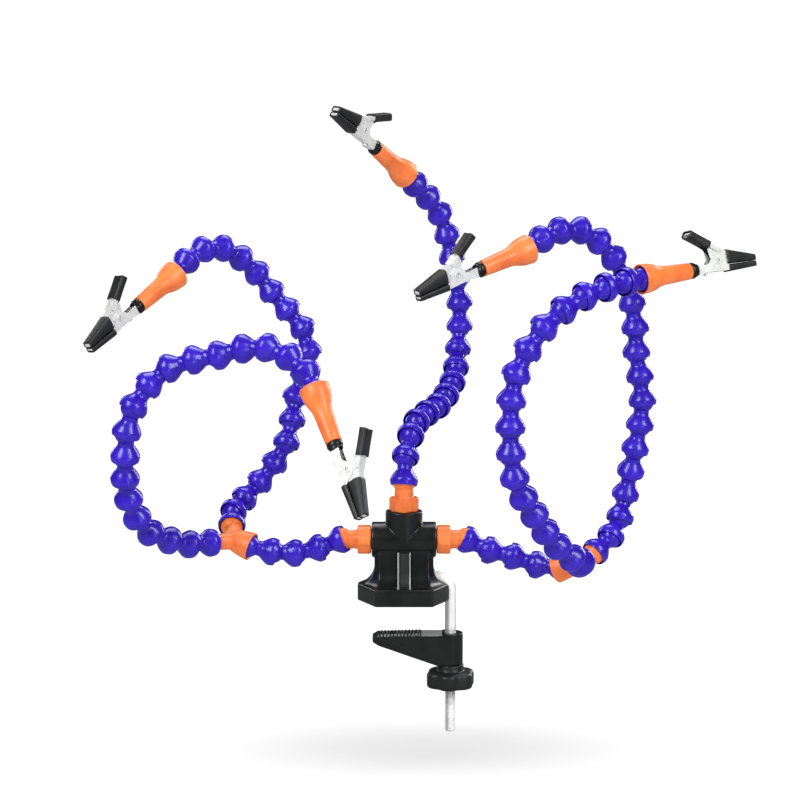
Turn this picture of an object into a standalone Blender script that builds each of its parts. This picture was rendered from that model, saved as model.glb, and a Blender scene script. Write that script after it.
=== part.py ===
# Helping hands clamp: a bench clamp whose hub carries five ball-and-socket arms, each ending in
# a swivelling alligator clip.  Sizes are in mm and scaled to metres as each part is added; +Z up.
# The origin is the centre of the flange's underside, +X is to the right along the two side
# ports and -Y is the front.
import math

import bmesh
import bpy
from mathutils import Matrix, Vector

for old in list(bpy.data.objects):
    bpy.data.objects.remove(old, do_unlink=True)

MM = 0.001
SMOOTH_ANGLE = math.radians(38)   # edges sharper than this stay crisp
MERGE_DISTANCE = 0.002            # cleans up after the booleans

# ---------------------------------------------------------------- ball joints and arm segments
PITCH = 15.0                      # one arm segment, socket centre to ball centre
TILT_LIMIT = math.radians(26.0)   # most that neighbouring segments lean
SPLINE_STEPS = 40                 # path points between two route points
RIM_HEIGHT = -2.2                 # socket mouth, measured from the socket centre
RIM_R = 8.5
SOCKET_R = 7.5
BALL_R = 6.5
NECK_R = 4.45                     # arm segment's neck
STUB_NECK_R = 4.8                 # neck under a connector's or splitter's ball
ARM_SIDES = 8                     # facets round an arm section
JOINT_SIDES = 12                  # facets round connectors, splitters, nozzles and plugs
STEM_SEGMENTS = 4
ARM_SEGMENTS = 18

# ---------------------------------------------------------------- clamp body
HUB_Z = 36.7                      # axis of the two side ports
HUB_R = 10.8
HUB_HALF = 19.5                   # side port faces
HUB_BEVEL = 0.7
TOP_PORT_R = 10.95
TOP_PORT_Z = 54.0
TOP_PORT_BEVEL = 0.8
PORT_BORE_R = 6.5
PORT_DEPTH = 8.0
FLANGE_X, FLANGE_Y = 27.7, 22.5   # half sizes
FLANGE_FRONT_X, FLANGE_SIDE_Y = 16.9, 2.5   # half lengths of the front and side edges
FLANGE_H = 10.0
FLANGE_EDGE_H = FLANGE_H - 0.8    # top of the flange's upright edge
FLARE_H = 11.0
FLARE_SPREAD = 0.90               # how far out to the flange's outline the flare starts
PILLAR_X, PILLAR_Y = 17.8, 11.0
PILLAR_CHAMFER = 3.0
PILLAR_TOP = 31.5
CROWN_Z = 40.0                    # the pillar's narrowed top, inside the hub
CROWN_SCALE_X, CROWN_SCALE_Y = 0.8, 0.55
RIB_W = 7.0
RIB_BOTTOM, RIB_TOP = 4.0, 31.0
RIB_Y, RIB_HALF_DEPTH = -10.6, 1.0

# ---------------------------------------------------------------- rod
ROD_R = 3.4
ROD_THREAD_R = 3.0
ROD_X = 28.3                      # axis of the upright length
ROD_Z = 13.5                      # axis of the level length
ROD_BEND = 8.0
ROD_START_X = -12.4
ROD_END_Z = -84.0
ROD_THREAD_Z = -19.0
THREAD_STEP = 0.5
ROD_CLEAR_R = 3.9
CHANNEL_R = ROD_CLEAR_R + 0.15    # the body's channel for the rod
CHANNEL_START_X, CHANNEL_END_Z = -13.0, -6.0

# ---------------------------------------------------------------- lower jaw and knob
JAW_TOP, JAW_BOTTOM = -20.8, -39.9
JAW_TIP_X = -19.1
JAW_TIP_HALF_W, JAW_TIP_END_X = 4.5, -14.65   # the narrow nose at the jaw's left end
JAW_HALF_W, JAW_TAPER = 9.0, 1.4
JAW_BOSS_R = 7.6
TEETH = 8
TOOTH_PITCH = 3.0
TOOTH_START_X = -14.2
TOOTH_GAP = 0.4
TOOTH_ROOT_Z, TOOTH_TIP_Z = JAW_TOP - 0.6, JAW_TOP + 0.1
KNOB_TOP, KNOB_COLLAR, KNOB_BOTTOM = -40.3, -43.2, -53.8
KNOB_R, KNOB_LOBES, LOBE_HEIGHT = 13.7, 6, 0.8
KNOB_EDGE = 1.0                   # height of the bevel round top and bottom
KNOB_BORE_R = 3.45
KNOB_SIDES = 36

# ---------------------------------------------------------------- ports, connectors and nozzles
BALL_OUT = 18.2                   # port face to ball centre on a connector
HEX_FLATS = 16.6                  # across flats
NOZZLE_L = 32.0                   # socket centre to nozzle tip
NOZZLE_BORE_R, NOZZLE_BORE_DEPTH = 3.15, 9.0

# side: (centre of the port face, outward direction)
PORTS = {
    "left": ((-HUB_HALF, 0, HUB_Z), (-1, 0, 0)),
    "right": ((HUB_HALF, 0, HUB_Z), (1, 0, 0)),
    "top": ((0, 0, TOP_PORT_Z), (0, 0, 1)),
}

# ---------------------------------------------------------------- routes
# Points that the socket centres follow.  A stem's route follows on from its connector's ball.
STEM_ROUTES = {
    "left": [(-51, 3, 31), (-65, 1, 28), (-79, -5, 30), (-93, -7, 34)],
    "right": [(51, 0, 30), (66, 1, 26), (80, 0, 21), (94, -5, 20)],
}
ARM_ROUTES = {
    "front_left": [
        (-116, -12, 37), (-128, -22, 38), (-138, -31, 42), (-148, -40, 48),
        (-159, -56, 71), (-159, -69, 98), (-154, -74, 126), (-135, -67, 148),
        (-107, -70, 156), (-79, -78, 162), (-56, -92, 151), (-50, -102, 141)],
    "rear_left": [
        (-105, 12, 43), (-105, 26, 49), (-99, 39, 55), (-90, 46, 64),
        (-73, 49, 89), (-68, 61, 116), (-60, 64, 145), (-75, 64, 170),
        (-92, 61, 194), (-112, 46, 210), (-132, 27, 202), (-140, 16, 194)],
    "front_right": [
        (104, -25, 27), (104, -40, 31), (97, -52, 36), (88, -61, 45),
        (74, -76, 66), (62, -90, 89), (59, -95, 118), (62, -94, 148),
        (77, -93, 174), (100, -85, 191), (125, -70, 198), (136, -60, 199)],
    "rear_right": [
        (116, 0, 29), (126, 8, 37), (132, 17, 46), (136, 23, 60),
        (141, 18, 89), (145, 17, 118), (141, 17, 148), (138, 15, 178),
        (127, 13, 205), (106, 2, 223), (81, -14, 219), (71, -24, 213)],
    "centre": [
        (0, 0, TOP_PORT_Z + BALL_OUT), (1, 4, 87), (4, 13, 98), (8, 27, 105),
        (21, 52, 111), (31, 78, 123), (35, 101, 142), (36, 106, 171),
        (31, 104, 200), (23, 98, 229), (7, 82, 248), (0, 71, 255)],
}
# arm: (segments to a rigid section, nozzle direction, way the clip's handle stands)
ARM_ENDS = {
    "front_left": (6, (0.33, -0.48, -0.81), (0.80, -0.31, 0.51)),
    "rear_left": (6, (-0.57, -0.66, -0.49), (-0.39, -0.30, 0.87)),
    "front_right": (6, (0.87, 0.48, 0.10), (-0.17, 0.12, 0.98)),
    "rear_right": (6, (-0.81, -0.50, -0.30), (-0.25, -0.16, 0.96)),
    "centre": (9, (-0.53, -0.69, 0.49), (0.37, 0.33, 0.87)),
}

# ---------------------------------------------------------------- materials
BLUE = (0.030, 0.010, 0.48)
ORANGE = (0.95, 0.26, 0.075)
BLACK = (0.017, 0.018, 0.019)
STEEL = (0.62, 0.62, 0.64)
NICKEL = (0.74, 0.74, 0.73)


def material(name, colour, roughness, metallic=0.0):
    mat = bpy.data.materials.new(name)
    mat.use_nodes = True
    inputs = mat.node_tree.nodes["Principled BSDF"].inputs
    inputs["Base Color"].default_value = (*colour, 1)
    inputs["Roughness"].default_value = roughness
    inputs["Metallic"].default_value = metallic
    mat.diffuse_color = (*colour, 1)
    return mat


def blue_plastic(name):
    return material("blue_" + name, BLUE, roughness=0.22)


def orange_plastic(name):
    return material("orange_" + name, ORANGE, roughness=0.45)


# ---------------------------------------------------------------- frames and outlines
def unit(vector):
    return Vector(vector).normalized()


def frame(origin, z_axis, x_hint):
    """A matrix whose Z is along z_axis and whose X leans towards x_hint."""
    z = unit(z_axis)
    x = (Vector(x_hint) - Vector(x_hint).dot(z) * z).normalized()
    place = Matrix((x, z.cross(x), z)).transposed().to_4x4()
    place.translation = Vector(origin)
    return place


def turn(degrees, axis):
    return Matrix.Rotation(math.radians(degrees), 4, axis)


def octagon(half_x, half_y, front_x, side_y):
    """An octagon in XY; front_x and side_y are half lengths of its front and side edges."""
    return [(-front_x, -half_y), (front_x, -half_y), (half_x, -side_y), (half_x, side_y),
            (front_x, half_y), (-front_x, half_y), (-half_x, side_y), (-half_x, -side_y)]


def rectangle(x_min, x_max, z_min, z_max):
    return [(x_min, z_min), (x_max, z_min), (x_max, z_max), (x_min, z_max)]


def circle(place, height, radius, sides):
    """A ring about place's Z.  radius is a number or a function of the angle."""
    points = []
    for i in range(sides):
        angle = 2 * math.pi * i / sides
        reach = radius(angle) if callable(radius) else radius
        points.append(place @ Vector((reach * math.cos(angle), reach * math.sin(angle), height)))
    return points


def hexagon(flats):
    """Radius of a hexagon of that width across flats, at an angle."""
    def radius(angle):
        off_flat = (angle + math.pi / 6) % (math.pi / 3) - math.pi / 6
        return flats / 2 / math.cos(off_flat)
    return radius


# ---------------------------------------------------------------- bodies, as bmeshes
def bridge(body, rows):
    """Quads between each row of vertices and the next."""
    for lower, upper in zip(rows, rows[1:]):
        for i in range(len(lower)):
            j = (i + 1) % len(lower)
            body.faces.new((lower[i], lower[j], upper[j], upper[i]))


def face_outwards(body):
    bmesh.ops.recalc_face_normals(body, faces=body.faces)
    return body


def loft(rings, start=None, end=None):
    """A closed body through equal rings; start and end are pole points, or None for flat caps."""
    body = bmesh.new()
    rows = [[body.verts.new(point) for point in ring] for ring in rings]
    bridge(body, rows)
    for row, pole, flip in ((rows[0], start, True), (rows[-1], end, False)):
        if pole is None:
            body.faces.new(list(reversed(row)) if flip else row)
            continue
        tip = body.verts.new(pole)
        for i in range(len(row)):
            j = (i + 1) % len(row)
            body.faces.new((tip, row[j], row[i]) if flip else (tip, row[i], row[j]))
    return face_outwards(body)


def lathe(profile, sides, place=Matrix.Identity(4)):
    """A closed body about Z.  profile: (height, radius) end to end; radius 0 is a pole."""
    start = end = None
    if profile[0][1] == 0:
        start, profile = place @ Vector((0, 0, profile[0][0])), profile[1:]
    if profile[-1][1] == 0:
        end, profile = place @ Vector((0, 0, profile[-1][0])), profile[:-1]
    return loft([circle(place, height, radius, sides) for height, radius in profile], start, end)


def cylinder(bottom, top, radius, sides, place=Matrix.Identity(4)):
    return lathe([(bottom, radius), (top, radius)], sides, place)


def tube(points, radii, sides):
    """A round bar along a run of points in the XZ plane."""
    rings = []
    for i, point in enumerate(points):
        before = points[max(i - 1, 0)]
        after = points[min(i + 1, len(points) - 1)]
        rings.append(circle(frame(point, after - before, (0, 1, 0)), 0, radii[i], sides))
    return loft(rings)


def prism(outline, half, place=Matrix.Identity(4)):
    """An outline in X and Z, extruded along Y both ways by half: a number or a function of x."""
    body = bmesh.new()
    varying = callable(half)
    near, far = [
        [body.verts.new(place @ Vector((x, sign * (half(x) if varying else half), z)))
         for x, z in outline] for sign in (-1, 1)]
    caps = [body.faces.new(near), body.faces.new(list(reversed(far)))]
    if varying:
        # such caps need not be flat, so they are split before anything else uses them
        bmesh.ops.triangulate(body, faces=caps)
    for i in range(len(outline)):
        j = (i + 1) % len(outline)
        body.faces.new((near[j], near[i], far[i], far[j]))
    return face_outwards(body)


def to_object(body, name):
    mesh = bpy.data.meshes.new(name)
    body.to_mesh(mesh)
    body.free()
    ob = bpy.data.objects.new(name, mesh)
    bpy.context.scene.collection.objects.link(ob)
    return ob


def combine(base, tools):
    """base joined with or cut by each (operation, body) in turn."""
    work = to_object(base, "work")
    for operation, body in tools:
        cutter = to_object(body, "tool")
        modifier = work.modifiers.new("b", "BOOLEAN")
        modifier.operation = operation
        modifier.solver = "EXACT"
        modifier.object = cutter
        evaluated = work.evaluated_get(bpy.context.evaluated_depsgraph_get())
        mesh = bpy.data.meshes.new_from_object(evaluated)
        work.modifiers.clear()
        work.data = mesh
        bpy.data.objects.remove(cutter, do_unlink=True)
    result = bmesh.new()
    result.from_mesh(work.data)
    bpy.data.objects.remove(work, do_unlink=True)
    bmesh.ops.remove_doubles(result, verts=result.verts, dist=MERGE_DISTANCE)
    bmesh.ops.dissolve_degenerate(result, edges=result.edges, dist=MERGE_DISTANCE)
    return result


def add(name, body, mat, place, local=False):
    """One named part with its frame at place; body is in world mm, or in place's if local."""
    if not local:
        bmesh.ops.transform(body, matrix=place.inverted(), verts=body.verts)
    bmesh.ops.scale(body, vec=(MM, MM, MM), verts=body.verts)
    bmesh.ops.triangulate(body, faces=[face for face in body.faces if len(face.verts) > 4])
    ob = to_object(body, name)
    world = place.copy()
    world.translation = place.translation * MM
    ob.matrix_world = world
    ob.data.materials.append(mat)
    ob.data.shade_smooth()
    ob.data.set_sharp_from_angle(angle=SMOOTH_ANGLE)


# ---------------------------------------------------------------- joint profiles
def sphere_section(radius, offset):
    return math.sqrt(radius ** 2 - offset ** 2)


# the hollow of a socket, from its pole to its mouth
SOCKET_PROFILE = [(SOCKET_R, 0)] + [
    (SOCKET_R * math.sin(math.radians(angle)), SOCKET_R * math.cos(math.radians(angle)))
    for angle in (58, 29, 0)] + [(RIM_HEIGHT, sphere_section(SOCKET_R, RIM_HEIGHT))]

# (height, radius) outside one arm segment, from its rim to its neck
SEGMENT_PROFILE = [(RIM_HEIGHT, RIM_R), (0.4, 8.3), (3.4, 7.3), (6.3, 5.7), (8.4, NECK_R + 0.05)]
# the same from the neck before it; later segments of a section go without the second station
NEXT_PROFILE = [(RIM_HEIGHT, NECK_R + 0.3), SEGMENT_PROFILE[0]] + SEGMENT_PROFILE[2:]


def ball_profile(centre, neck):
    """A ball on its neck, cut flat at the far end."""
    reach = sphere_section(BALL_R, neck)
    return [(centre - reach, neck), (centre - 2.2, sphere_section(BALL_R, 2.2)),
            (centre + 1.6, sphere_section(BALL_R, 1.6)), (centre + reach, neck),
            (centre + reach, 0)]


# ---------------------------------------------------------------- clamp body and rod
def rod_bend(start_x):
    """The rod's axis from start_x to the foot of its quarter bend."""
    points = [Vector((start_x, 0, ROD_Z))]
    for k in range(7):
        angle = math.radians(15 * k)
        points.append(Vector((ROD_X - ROD_BEND + ROD_BEND * math.sin(angle), 0,
                              ROD_Z - ROD_BEND + ROD_BEND * math.cos(angle))))
    return points


def body_core():
    """Flange, flare and pillar."""
    flange = octagon(FLANGE_X, FLANGE_Y, FLANGE_FRONT_X, FLANGE_SIDE_Y)
    pillar = octagon(PILLAR_X, PILLAR_Y, PILLAR_X - PILLAR_CHAMFER, PILLAR_Y - PILLAR_CHAMFER)
    rings = [[Vector((x, y, z)) for x, y in flange] for z in (0, FLANGE_EDGE_H)]
    # the flare from flange to pillar is a quarter ellipse
    for angle in (0, 30, 60, 90):
        spread = FLARE_SPREAD * (1 - math.sin(math.radians(angle)))
        z = FLANGE_H + FLARE_H * (1 - math.cos(math.radians(angle)))
        rings.append([
            Vector((x + (outer_x - x) * spread, y + (outer_y - y) * spread, z))
            for (outer_x, outer_y), (x, y) in zip(flange, pillar)])
    rings.append([Vector((x, y, PILLAR_TOP)) for x, y in pillar])
    rings.append([Vector((x * CROWN_SCALE_X, y * CROWN_SCALE_Y, CROWN_Z)) for x, y in pillar])
    return loft(rings)


def clamp_body():
    hub = Matrix.Translation((0, 0, HUB_Z))
    barrel = lathe([(-HUB_HALF, HUB_R - HUB_BEVEL), (-HUB_HALF + HUB_BEVEL, HUB_R),
                    (HUB_HALF - HUB_BEVEL, HUB_R), (HUB_HALF, HUB_R - HUB_BEVEL)],
                   32, hub @ turn(90, "Y"))
    top_port = lathe([(HUB_Z - 4, TOP_PORT_R), (TOP_PORT_Z - TOP_PORT_BEVEL, TOP_PORT_R),
                      (TOP_PORT_Z, TOP_PORT_R - TOP_PORT_BEVEL)], 32)
    rib = prism(rectangle(-RIB_W / 2, RIB_W / 2, RIB_BOTTOM, RIB_TOP), RIB_HALF_DEPTH,
                Matrix.Translation((0, RIB_Y, 0)))
    tools = [("UNION", barrel), ("UNION", top_port), ("UNION", rib)]
    overshoot = 3
    for face, place in ((HUB_HALF, hub @ turn(90, "Y")), (HUB_HALF, hub @ turn(-90, "Y")),
                        (TOP_PORT_Z, Matrix.Identity(4))):
        bore = cylinder(face - PORT_DEPTH, face + overshoot, PORT_BORE_R, 16, place)
        tools.append(("DIFFERENCE", bore))
    channel = rod_bend(CHANNEL_START_X) + [Vector((ROD_X, 0, CHANNEL_END_Z))]
    tools.append(("DIFFERENCE", tube(channel, [CHANNEL_R] * len(channel), 16)))
    return combine(body_core(), tools)


def clamp_rod():
    bend = rod_bend(ROD_START_X)
    lower = [Vector((ROD_X, 0, z))
             for z in (ROD_THREAD_Z, ROD_THREAD_Z - THREAD_STEP, ROD_END_Z)]
    return tube(bend + lower, [ROD_R] * (len(bend) + 1) + [ROD_THREAD_R] * 2, 12)


add("clamp_body", clamp_body(), material("black_body", BLACK, roughness=0.42),
    Matrix.Identity(4))
add("clamp_rod", clamp_rod(), material("rod_steel", STEEL, roughness=0.25, metallic=1.0),
    Matrix.Translation((ROD_X, 0, 0)))


# ---------------------------------------------------------------- lower jaw and knob
ROD_AXIS = Matrix.Translation((ROD_X, 0, 0))


def jaw_half_width(x):
    if x < JAW_TIP_END_X:
        return JAW_TIP_HALF_W
    return JAW_HALF_W - JAW_TAPER * (x - JAW_TIP_X) / (ROD_X - JAW_TIP_X)


def lower_jaw():
    outline = [(JAW_TIP_X, TOOTH_ROOT_Z), (-14.6, TOOTH_ROOT_Z)]
    for k in range(TEETH):
        x = TOOTH_START_X + TOOTH_PITCH * k
        outline += [(x, TOOTH_ROOT_Z), (x + (TOOTH_PITCH - TOOTH_GAP) / 2, TOOTH_TIP_Z),
                    (x + TOOTH_PITCH - TOOTH_GAP, TOOTH_ROOT_Z)]
    # the top with its shallow dip, then back along the sloping underside
    outline += [(10.6, JAW_TOP), (11.4, JAW_TOP - 0.4), (22.8, JAW_TOP - 0.4), (23.4, JAW_TOP),
                (ROD_X, JAW_TOP), (ROD_X, JAW_BOTTOM), (20.5, JAW_BOTTOM), (JAW_TIP_X, -24.4)]
    boss = cylinder(JAW_BOTTOM, JAW_TOP, JAW_BOSS_R, 28, ROD_AXIS)
    hole = cylinder(JAW_BOTTOM - 5, JAW_TOP + 5, ROD_CLEAR_R, 20, ROD_AXIS)
    return combine(prism(outline, jaw_half_width), [("UNION", boss), ("DIFFERENCE", hole)])


def clamp_knob():
    """A lobed grip under a round collar, bored right through."""
    def lobes(scale):
        return lambda angle: scale * (KNOB_R + LOBE_HEIGHT * math.cos(KNOB_LOBES * angle))
    collar_r = JAW_BOSS_R + 0.5
    # (height, radius) down the outside, then the bore
    profile = [(KNOB_TOP, collar_r), (KNOB_COLLAR, collar_r), (KNOB_COLLAR, lobes(0.93)),
               (KNOB_COLLAR - KNOB_EDGE, lobes(1.0)), (KNOB_BOTTOM + KNOB_EDGE, lobes(1.0)),
               (KNOB_BOTTOM, lobes(0.94)), (KNOB_BOTTOM, KNOB_BORE_R), (KNOB_TOP, KNOB_BORE_R)]
    body = bmesh.new()
    rows = [[body.verts.new(point) for point in circle(ROD_AXIS, height, radius, KNOB_SIDES)]
            for height, radius in profile]
    bridge(body, rows + rows[:1])
    return face_outwards(body)


add("lower_jaw", lower_jaw(), material("black_jaw", BLACK, roughness=0.45),
    Matrix.Translation((ROD_X, 0, JAW_TOP)))
add("clamp_knob", clamp_knob(), material("black_knob", BLACK, roughness=0.35),
    Matrix.Translation((ROD_X, 0, KNOB_TOP)))


# ---------------------------------------------------------------- connectors
def connector(place):
    """A spigot in the port, a hexagon and a ball, along place's Z from the port face."""
    flats = hexagon(HEX_FLATS)
    profile = [(-6.0, 5.9), (0.3, 5.9), (0.3, flats), (8.6, flats), (8.9, 5.3), (10.6, 5.1)]
    return lathe(profile + ball_profile(BALL_OUT, STUB_NECK_R), JOINT_SIDES, place)


for side, (face, outward) in PORTS.items():
    place = frame(face, outward, (0, 1, 0))
    add("connector_" + side, connector(place), orange_plastic("connector_" + side), place)


# ---------------------------------------------------------------- arm routes and sections
def between(start, end, start_knot, end_knot, knot):
    return start.lerp(end, (knot - start_knot) / (end_knot - start_knot))


def spline(points):
    """A Catmull-Rom curve through the points, spaced by chord length."""
    points = [Vector(point) for point in points]
    points = [2 * points[0] - points[1]] + points + [2 * points[-1] - points[-2]]
    path = []
    for i in range(1, len(points) - 2):
        four = points[i - 1:i + 3]
        knots = [0.0]
        for start, end in zip(four, four[1:]):
            knots.append(knots[-1] + (end - start).length)
        for k in range(SPLINE_STEPS):
            knot = knots[1] + (knots[2] - knots[1]) * k / SPLINE_STEPS
            three = [between(four[j], four[j + 1], knots[j], knots[j + 1], knot)
                     for j in range(3)]
            two = [between(three[j], three[j + 1], knots[j], knots[j + 2], knot)
                   for j in range(2)]
            path.append(between(two[0], two[1], knots[1], knots[2], knot))
    path.append(points[-2])
    return path


def walk(path, count, last=None):
    """Joint centres one pitch apart along the path, no joint leaning past its limit.

    last is the direction of the piece that comes before, if the first joint is limited too.
    """
    joints = [path[0]]
    i = 0
    while len(joints) <= count:
        here = joints[-1]
        while i < len(path) - 1 and (path[i + 1] - here).length < PITCH:
            i += 1
        if i >= len(path) - 1:
            # past the end of the path: carry straight on
            direction = unit(path[-1] - path[-2])
        else:
            low, high = 0.0, 1.0
            for _ in range(40):
                middle = (low + high) / 2
                if (path[i].lerp(path[i + 1], middle) - here).length < PITCH:
                    low = middle
                else:
                    high = middle
            direction = unit(path[i].lerp(path[i + 1], low) - here)
        if last is not None and last.angle(direction) > TILT_LIMIT:
            hinge = last.cross(direction).normalized()
            direction = Matrix.Rotation(TILT_LIMIT, 3, hinge) @ last
        last = direction
        joints.append(here + PITCH * direction)
    return joints


def section_body(joints):
    """One rigid run of segments: an open socket at the first joint, a ball at the last."""
    hint = Vector((0.31, 0.52, 0.79))
    ball = ball_profile(PITCH, NECK_R)
    rings = []
    last = None
    for k, (here, there) in enumerate(zip(joints, joints[1:])):
        direction = unit(there - here)
        if last is not None:
            # carry the facets round the bend without twist
            hint = last.rotation_difference(direction) @ hint
        last = direction
        place = frame(here, direction, hint)
        hint = place.to_3x3() @ Vector((1, 0, 0))
        if k == 0:
            start = place @ Vector((0, 0, SOCKET_R))
            profile = SOCKET_PROFILE[1:] + SEGMENT_PROFILE
        else:
            profile = NEXT_PROFILE
        rings += [circle(place, height, radius, ARM_SIDES) for height, radius in profile]
    rings += [circle(place, height, radius, ARM_SIDES) for height, radius in ball[:-1]]
    return loft(rings, start, place @ Vector((0, 0, ball[-1][0])))


# ---------------------------------------------------------------- stems and Y splitters
STUB_ROOT = 8.6                   # where a splitter's stubs meet, from its socket centre
FORK_SHARE, STEM_SHARE = 0.87, 0.13   # how far the axis follows the stubs and the stem
# (height, radius) outside a splitter's socket
SPLITTER_PROFILE = [(RIM_HEIGHT, RIM_R), (0.4, 8.4), (3.4, 7.9), (6.5, 7.4), (9.6, 6.6),
                    (11.6, 5.0), (12.0, 0)]


def splitter(origin, balls, along):
    """A socket at origin with a stub to each ball; returns the body and its frame."""
    to_balls = [Vector(ball) - origin for ball in balls]
    fork = unit(unit(to_balls[0]) + unit(to_balls[1]))
    axis = unit(FORK_SHARE * fork + STEM_SHARE * along)
    place = frame(origin, axis, to_balls[0])
    base = lathe(SOCKET_PROFILE + SPLITTER_PROFILE, JOINT_SIDES, place)
    root = place @ Vector((0, 0, STUB_ROOT))
    tools = []
    for ball in balls:
        reach = Vector(ball) - root
        profile = [(2.7, 0), (2.7, 4.9), (reach.length - 6.2, 5.1)]
        profile += ball_profile(reach.length, STUB_NECK_R)
        tools.append(("UNION", lathe(profile, JOINT_SIDES, frame(root, reach, axis))))
    return combine(base, tools), place


for side, route in STEM_ROUTES.items():
    face, outward = PORTS[side]
    outward = Vector(outward)
    ball = Vector(face) + BALL_OUT * outward
    joints = walk(spline([ball] + route), STEM_SEGMENTS, outward)
    add("stem_" + side, section_body(joints), blue_plastic("stem_" + side),
        frame(joints[0], joints[1] - joints[0], (0, 1, 0)))
    balls = [ARM_ROUTES[row + side][0] for row in ("front_", "rear_")]
    body, place = splitter(joints[-1], balls, unit(joints[-1] - joints[-2]))
    add("y_splitter_" + side, body, orange_plastic("splitter_" + side), place)

# ---------------------------------------------------------------- clips
# A clip is drawn with X along it from the nozzle tip and Z towards its handle.
# Outlines are (x, z).
PIVOT = (19.0, 3.3)
PIN_R, PIN_HOLE_R = 1.5, 1.95
HANDLE_NORMAL = (0.538, 0.843)    # square to the handle, in x and z

# along the clip: (distance, radius)
PLUG_PROFILE = [(-8.0, 0), (-8.0, 2.7), (0.4, 2.7), (0.4, 4.6), (2.8, 4.6), (3.0, 4.1),
                (6.4, 4.1), (6.4, 3.4), (3.6, 3.4), (3.6, 0)]
EARS = [(8.0, -2.3), (24.5, -3.0), (26.0, -3.0), (26.0, -0.5), (24.0, 1.6), (22.4, 4.8),
        (20.4, 6.4), (17.6, 6.4), (15.4, 4.8), (12.4, 2.3), (8.0, 2.3)]
FIXED_PRONG = [(25.0, -2.7), (46.6, -2.4), (46.6, -0.4), (45.4, -0.9), (44.2, -0.4),
               (43.0, -0.7), (25.0, -0.5)]
MOVING_WEB = [(46.8, 0.8), (46.8, 2.7), (26.0, 8.2), (21.5, 10.3), (16.2, 11.4), (14.4, 9.0),
              (15.0, 3.4), (16.4, 0.6), (19.0, -0.5), (22.5, -0.2), (25.0, 1.3), (43.2, 1.1),
              (44.4, 0.8), (45.6, 1.3)]
LOW_COVER = [(26.6, -3.9), (45.4, -3.3), (45.4, -0.05), (26.6, 0.35)]
LOW_COVER_HOLLOW = [(24.0, -3.1), (48.0, -2.75), (48.0, -0.35), (24.0, -0.1)]
HIGH_COVER = [(26.6, 0.7), (45.6, 0.1), (45.6, 3.8), (26.6, 9.2)]
HIGH_COVER_HOLLOW = [(24.0, 1.0), (48.0, 0.4), (48.0, 2.7), (24.0, 9.2)]


def strip(start, end, half):
    """Outline of a straight bar along the handle, half its thickness either side."""
    x, z = half * HANDLE_NORMAL[0], half * HANDLE_NORMAL[1]
    return [(start[0] - x, start[1] - z), (start[0] + x, start[1] + z),
            (end[0] + x, end[1] + z), (end[0] - x, end[1] - z)]


def pivot_cylinder(half, radius, sides):
    place = Matrix.Translation((PIVOT[0], 0, PIVOT[1])) @ turn(90, "X")
    return cylinder(-half, half, radius, sides, place)


def clip_plug():
    return lathe(PLUG_PROFILE, JOINT_SIDES, turn(90, "Y"))


def clip_fixed_jaw():
    """Tail, folded ears with the pin fixed across them, and prong."""
    tail = prism(rectangle(4.0, 9.0, -2.2, 2.2), 1.9)
    slot = prism(rectangle(12.6, 24.9, -1.5, 9.0), 2.3)
    return combine(prism(EARS, 3.0), [
        ("UNION", tail), ("UNION", prism(FIXED_PRONG, 2.3)), ("DIFFERENCE", slot),
        ("UNION", pivot_cylinder(2.6, PIN_R, 12))])


def clip_moving_jaw():
    """Prong, web with the pin's hole, and handle slab."""
    slab = prism(strip((20.4, 9.68), (3.2, 20.66), 1), 3.3)
    return combine(prism(MOVING_WEB, 1.95), [
        ("UNION", slab), ("DIFFERENCE", pivot_cylinder(4, PIN_HOLE_R, 16))])


def clip_fixed_cover():
    return combine(prism(LOW_COVER, 3.9), [("DIFFERENCE", prism(LOW_COVER_HOLLOW, 2.7))])


def clip_moving_cover():
    return combine(prism(HIGH_COVER, 3.9), [("DIFFERENCE", prism(HIGH_COVER_HOLLOW, 2.35))])


def clip_handle_sleeve():
    """Closed at the handle's far end."""
    pocket = prism(strip((16.9, 11.92), (2.95, 20.82), 1.35), 3.65)
    return combine(prism(strip((15.2, 13.0), (2.2, 21.3), 2.5), 4.1), [("DIFFERENCE", pocket)])


# (builder, material name, colour, roughness, metallic, origin on the pivot)
CLIP_PIECES = [
    (clip_plug, "black_plug_", BLACK, 0.4, 0.0, False),
    (clip_fixed_jaw, "nickel_fixed_", NICKEL, 0.3, 1.0, False),
    (clip_moving_jaw, "nickel_moving_", NICKEL, 0.3, 1.0, True),
    (clip_fixed_cover, "black_cover_low_", BLACK, 0.5, 0.0, False),
    (clip_moving_cover, "black_cover_high_", BLACK, 0.5, 0.0, True),
    (clip_handle_sleeve, "black_sleeve_", BLACK, 0.5, 0.0, True),
]


def add_clip(tip, arm):
    """The six pieces of one clip; tip is its frame at the nozzle tip."""
    to_pivot = Matrix.Translation((PIVOT[0], 0, PIVOT[1]))
    for build, mat_name, colour, roughness, metallic, hinged in CLIP_PIECES:
        body = build()
        place = tip
        if hinged:
            bmesh.ops.transform(body, matrix=to_pivot.inverted(), verts=body.verts)
            place = tip @ to_pivot
        add(build.__name__ + "_" + arm, body,
            material(mat_name + arm, colour, roughness, metallic), place, local=True)


# ---------------------------------------------------------------- arms
def nozzle():
    bore_end = NOZZLE_L - NOZZLE_BORE_DEPTH
    outside = [(RIM_HEIGHT, 8.65), (2.0, 8.4), (6.0, 7.6), (10.5, 6.0), (15.0, 5.35),
               (NOZZLE_L, 4.75)]
    bore = [(NOZZLE_L, NOZZLE_BORE_R), (bore_end, NOZZLE_BORE_R), (bore_end, 0)]
    return lathe(SOCKET_PROFILE + outside + bore, JOINT_SIDES)


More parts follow.
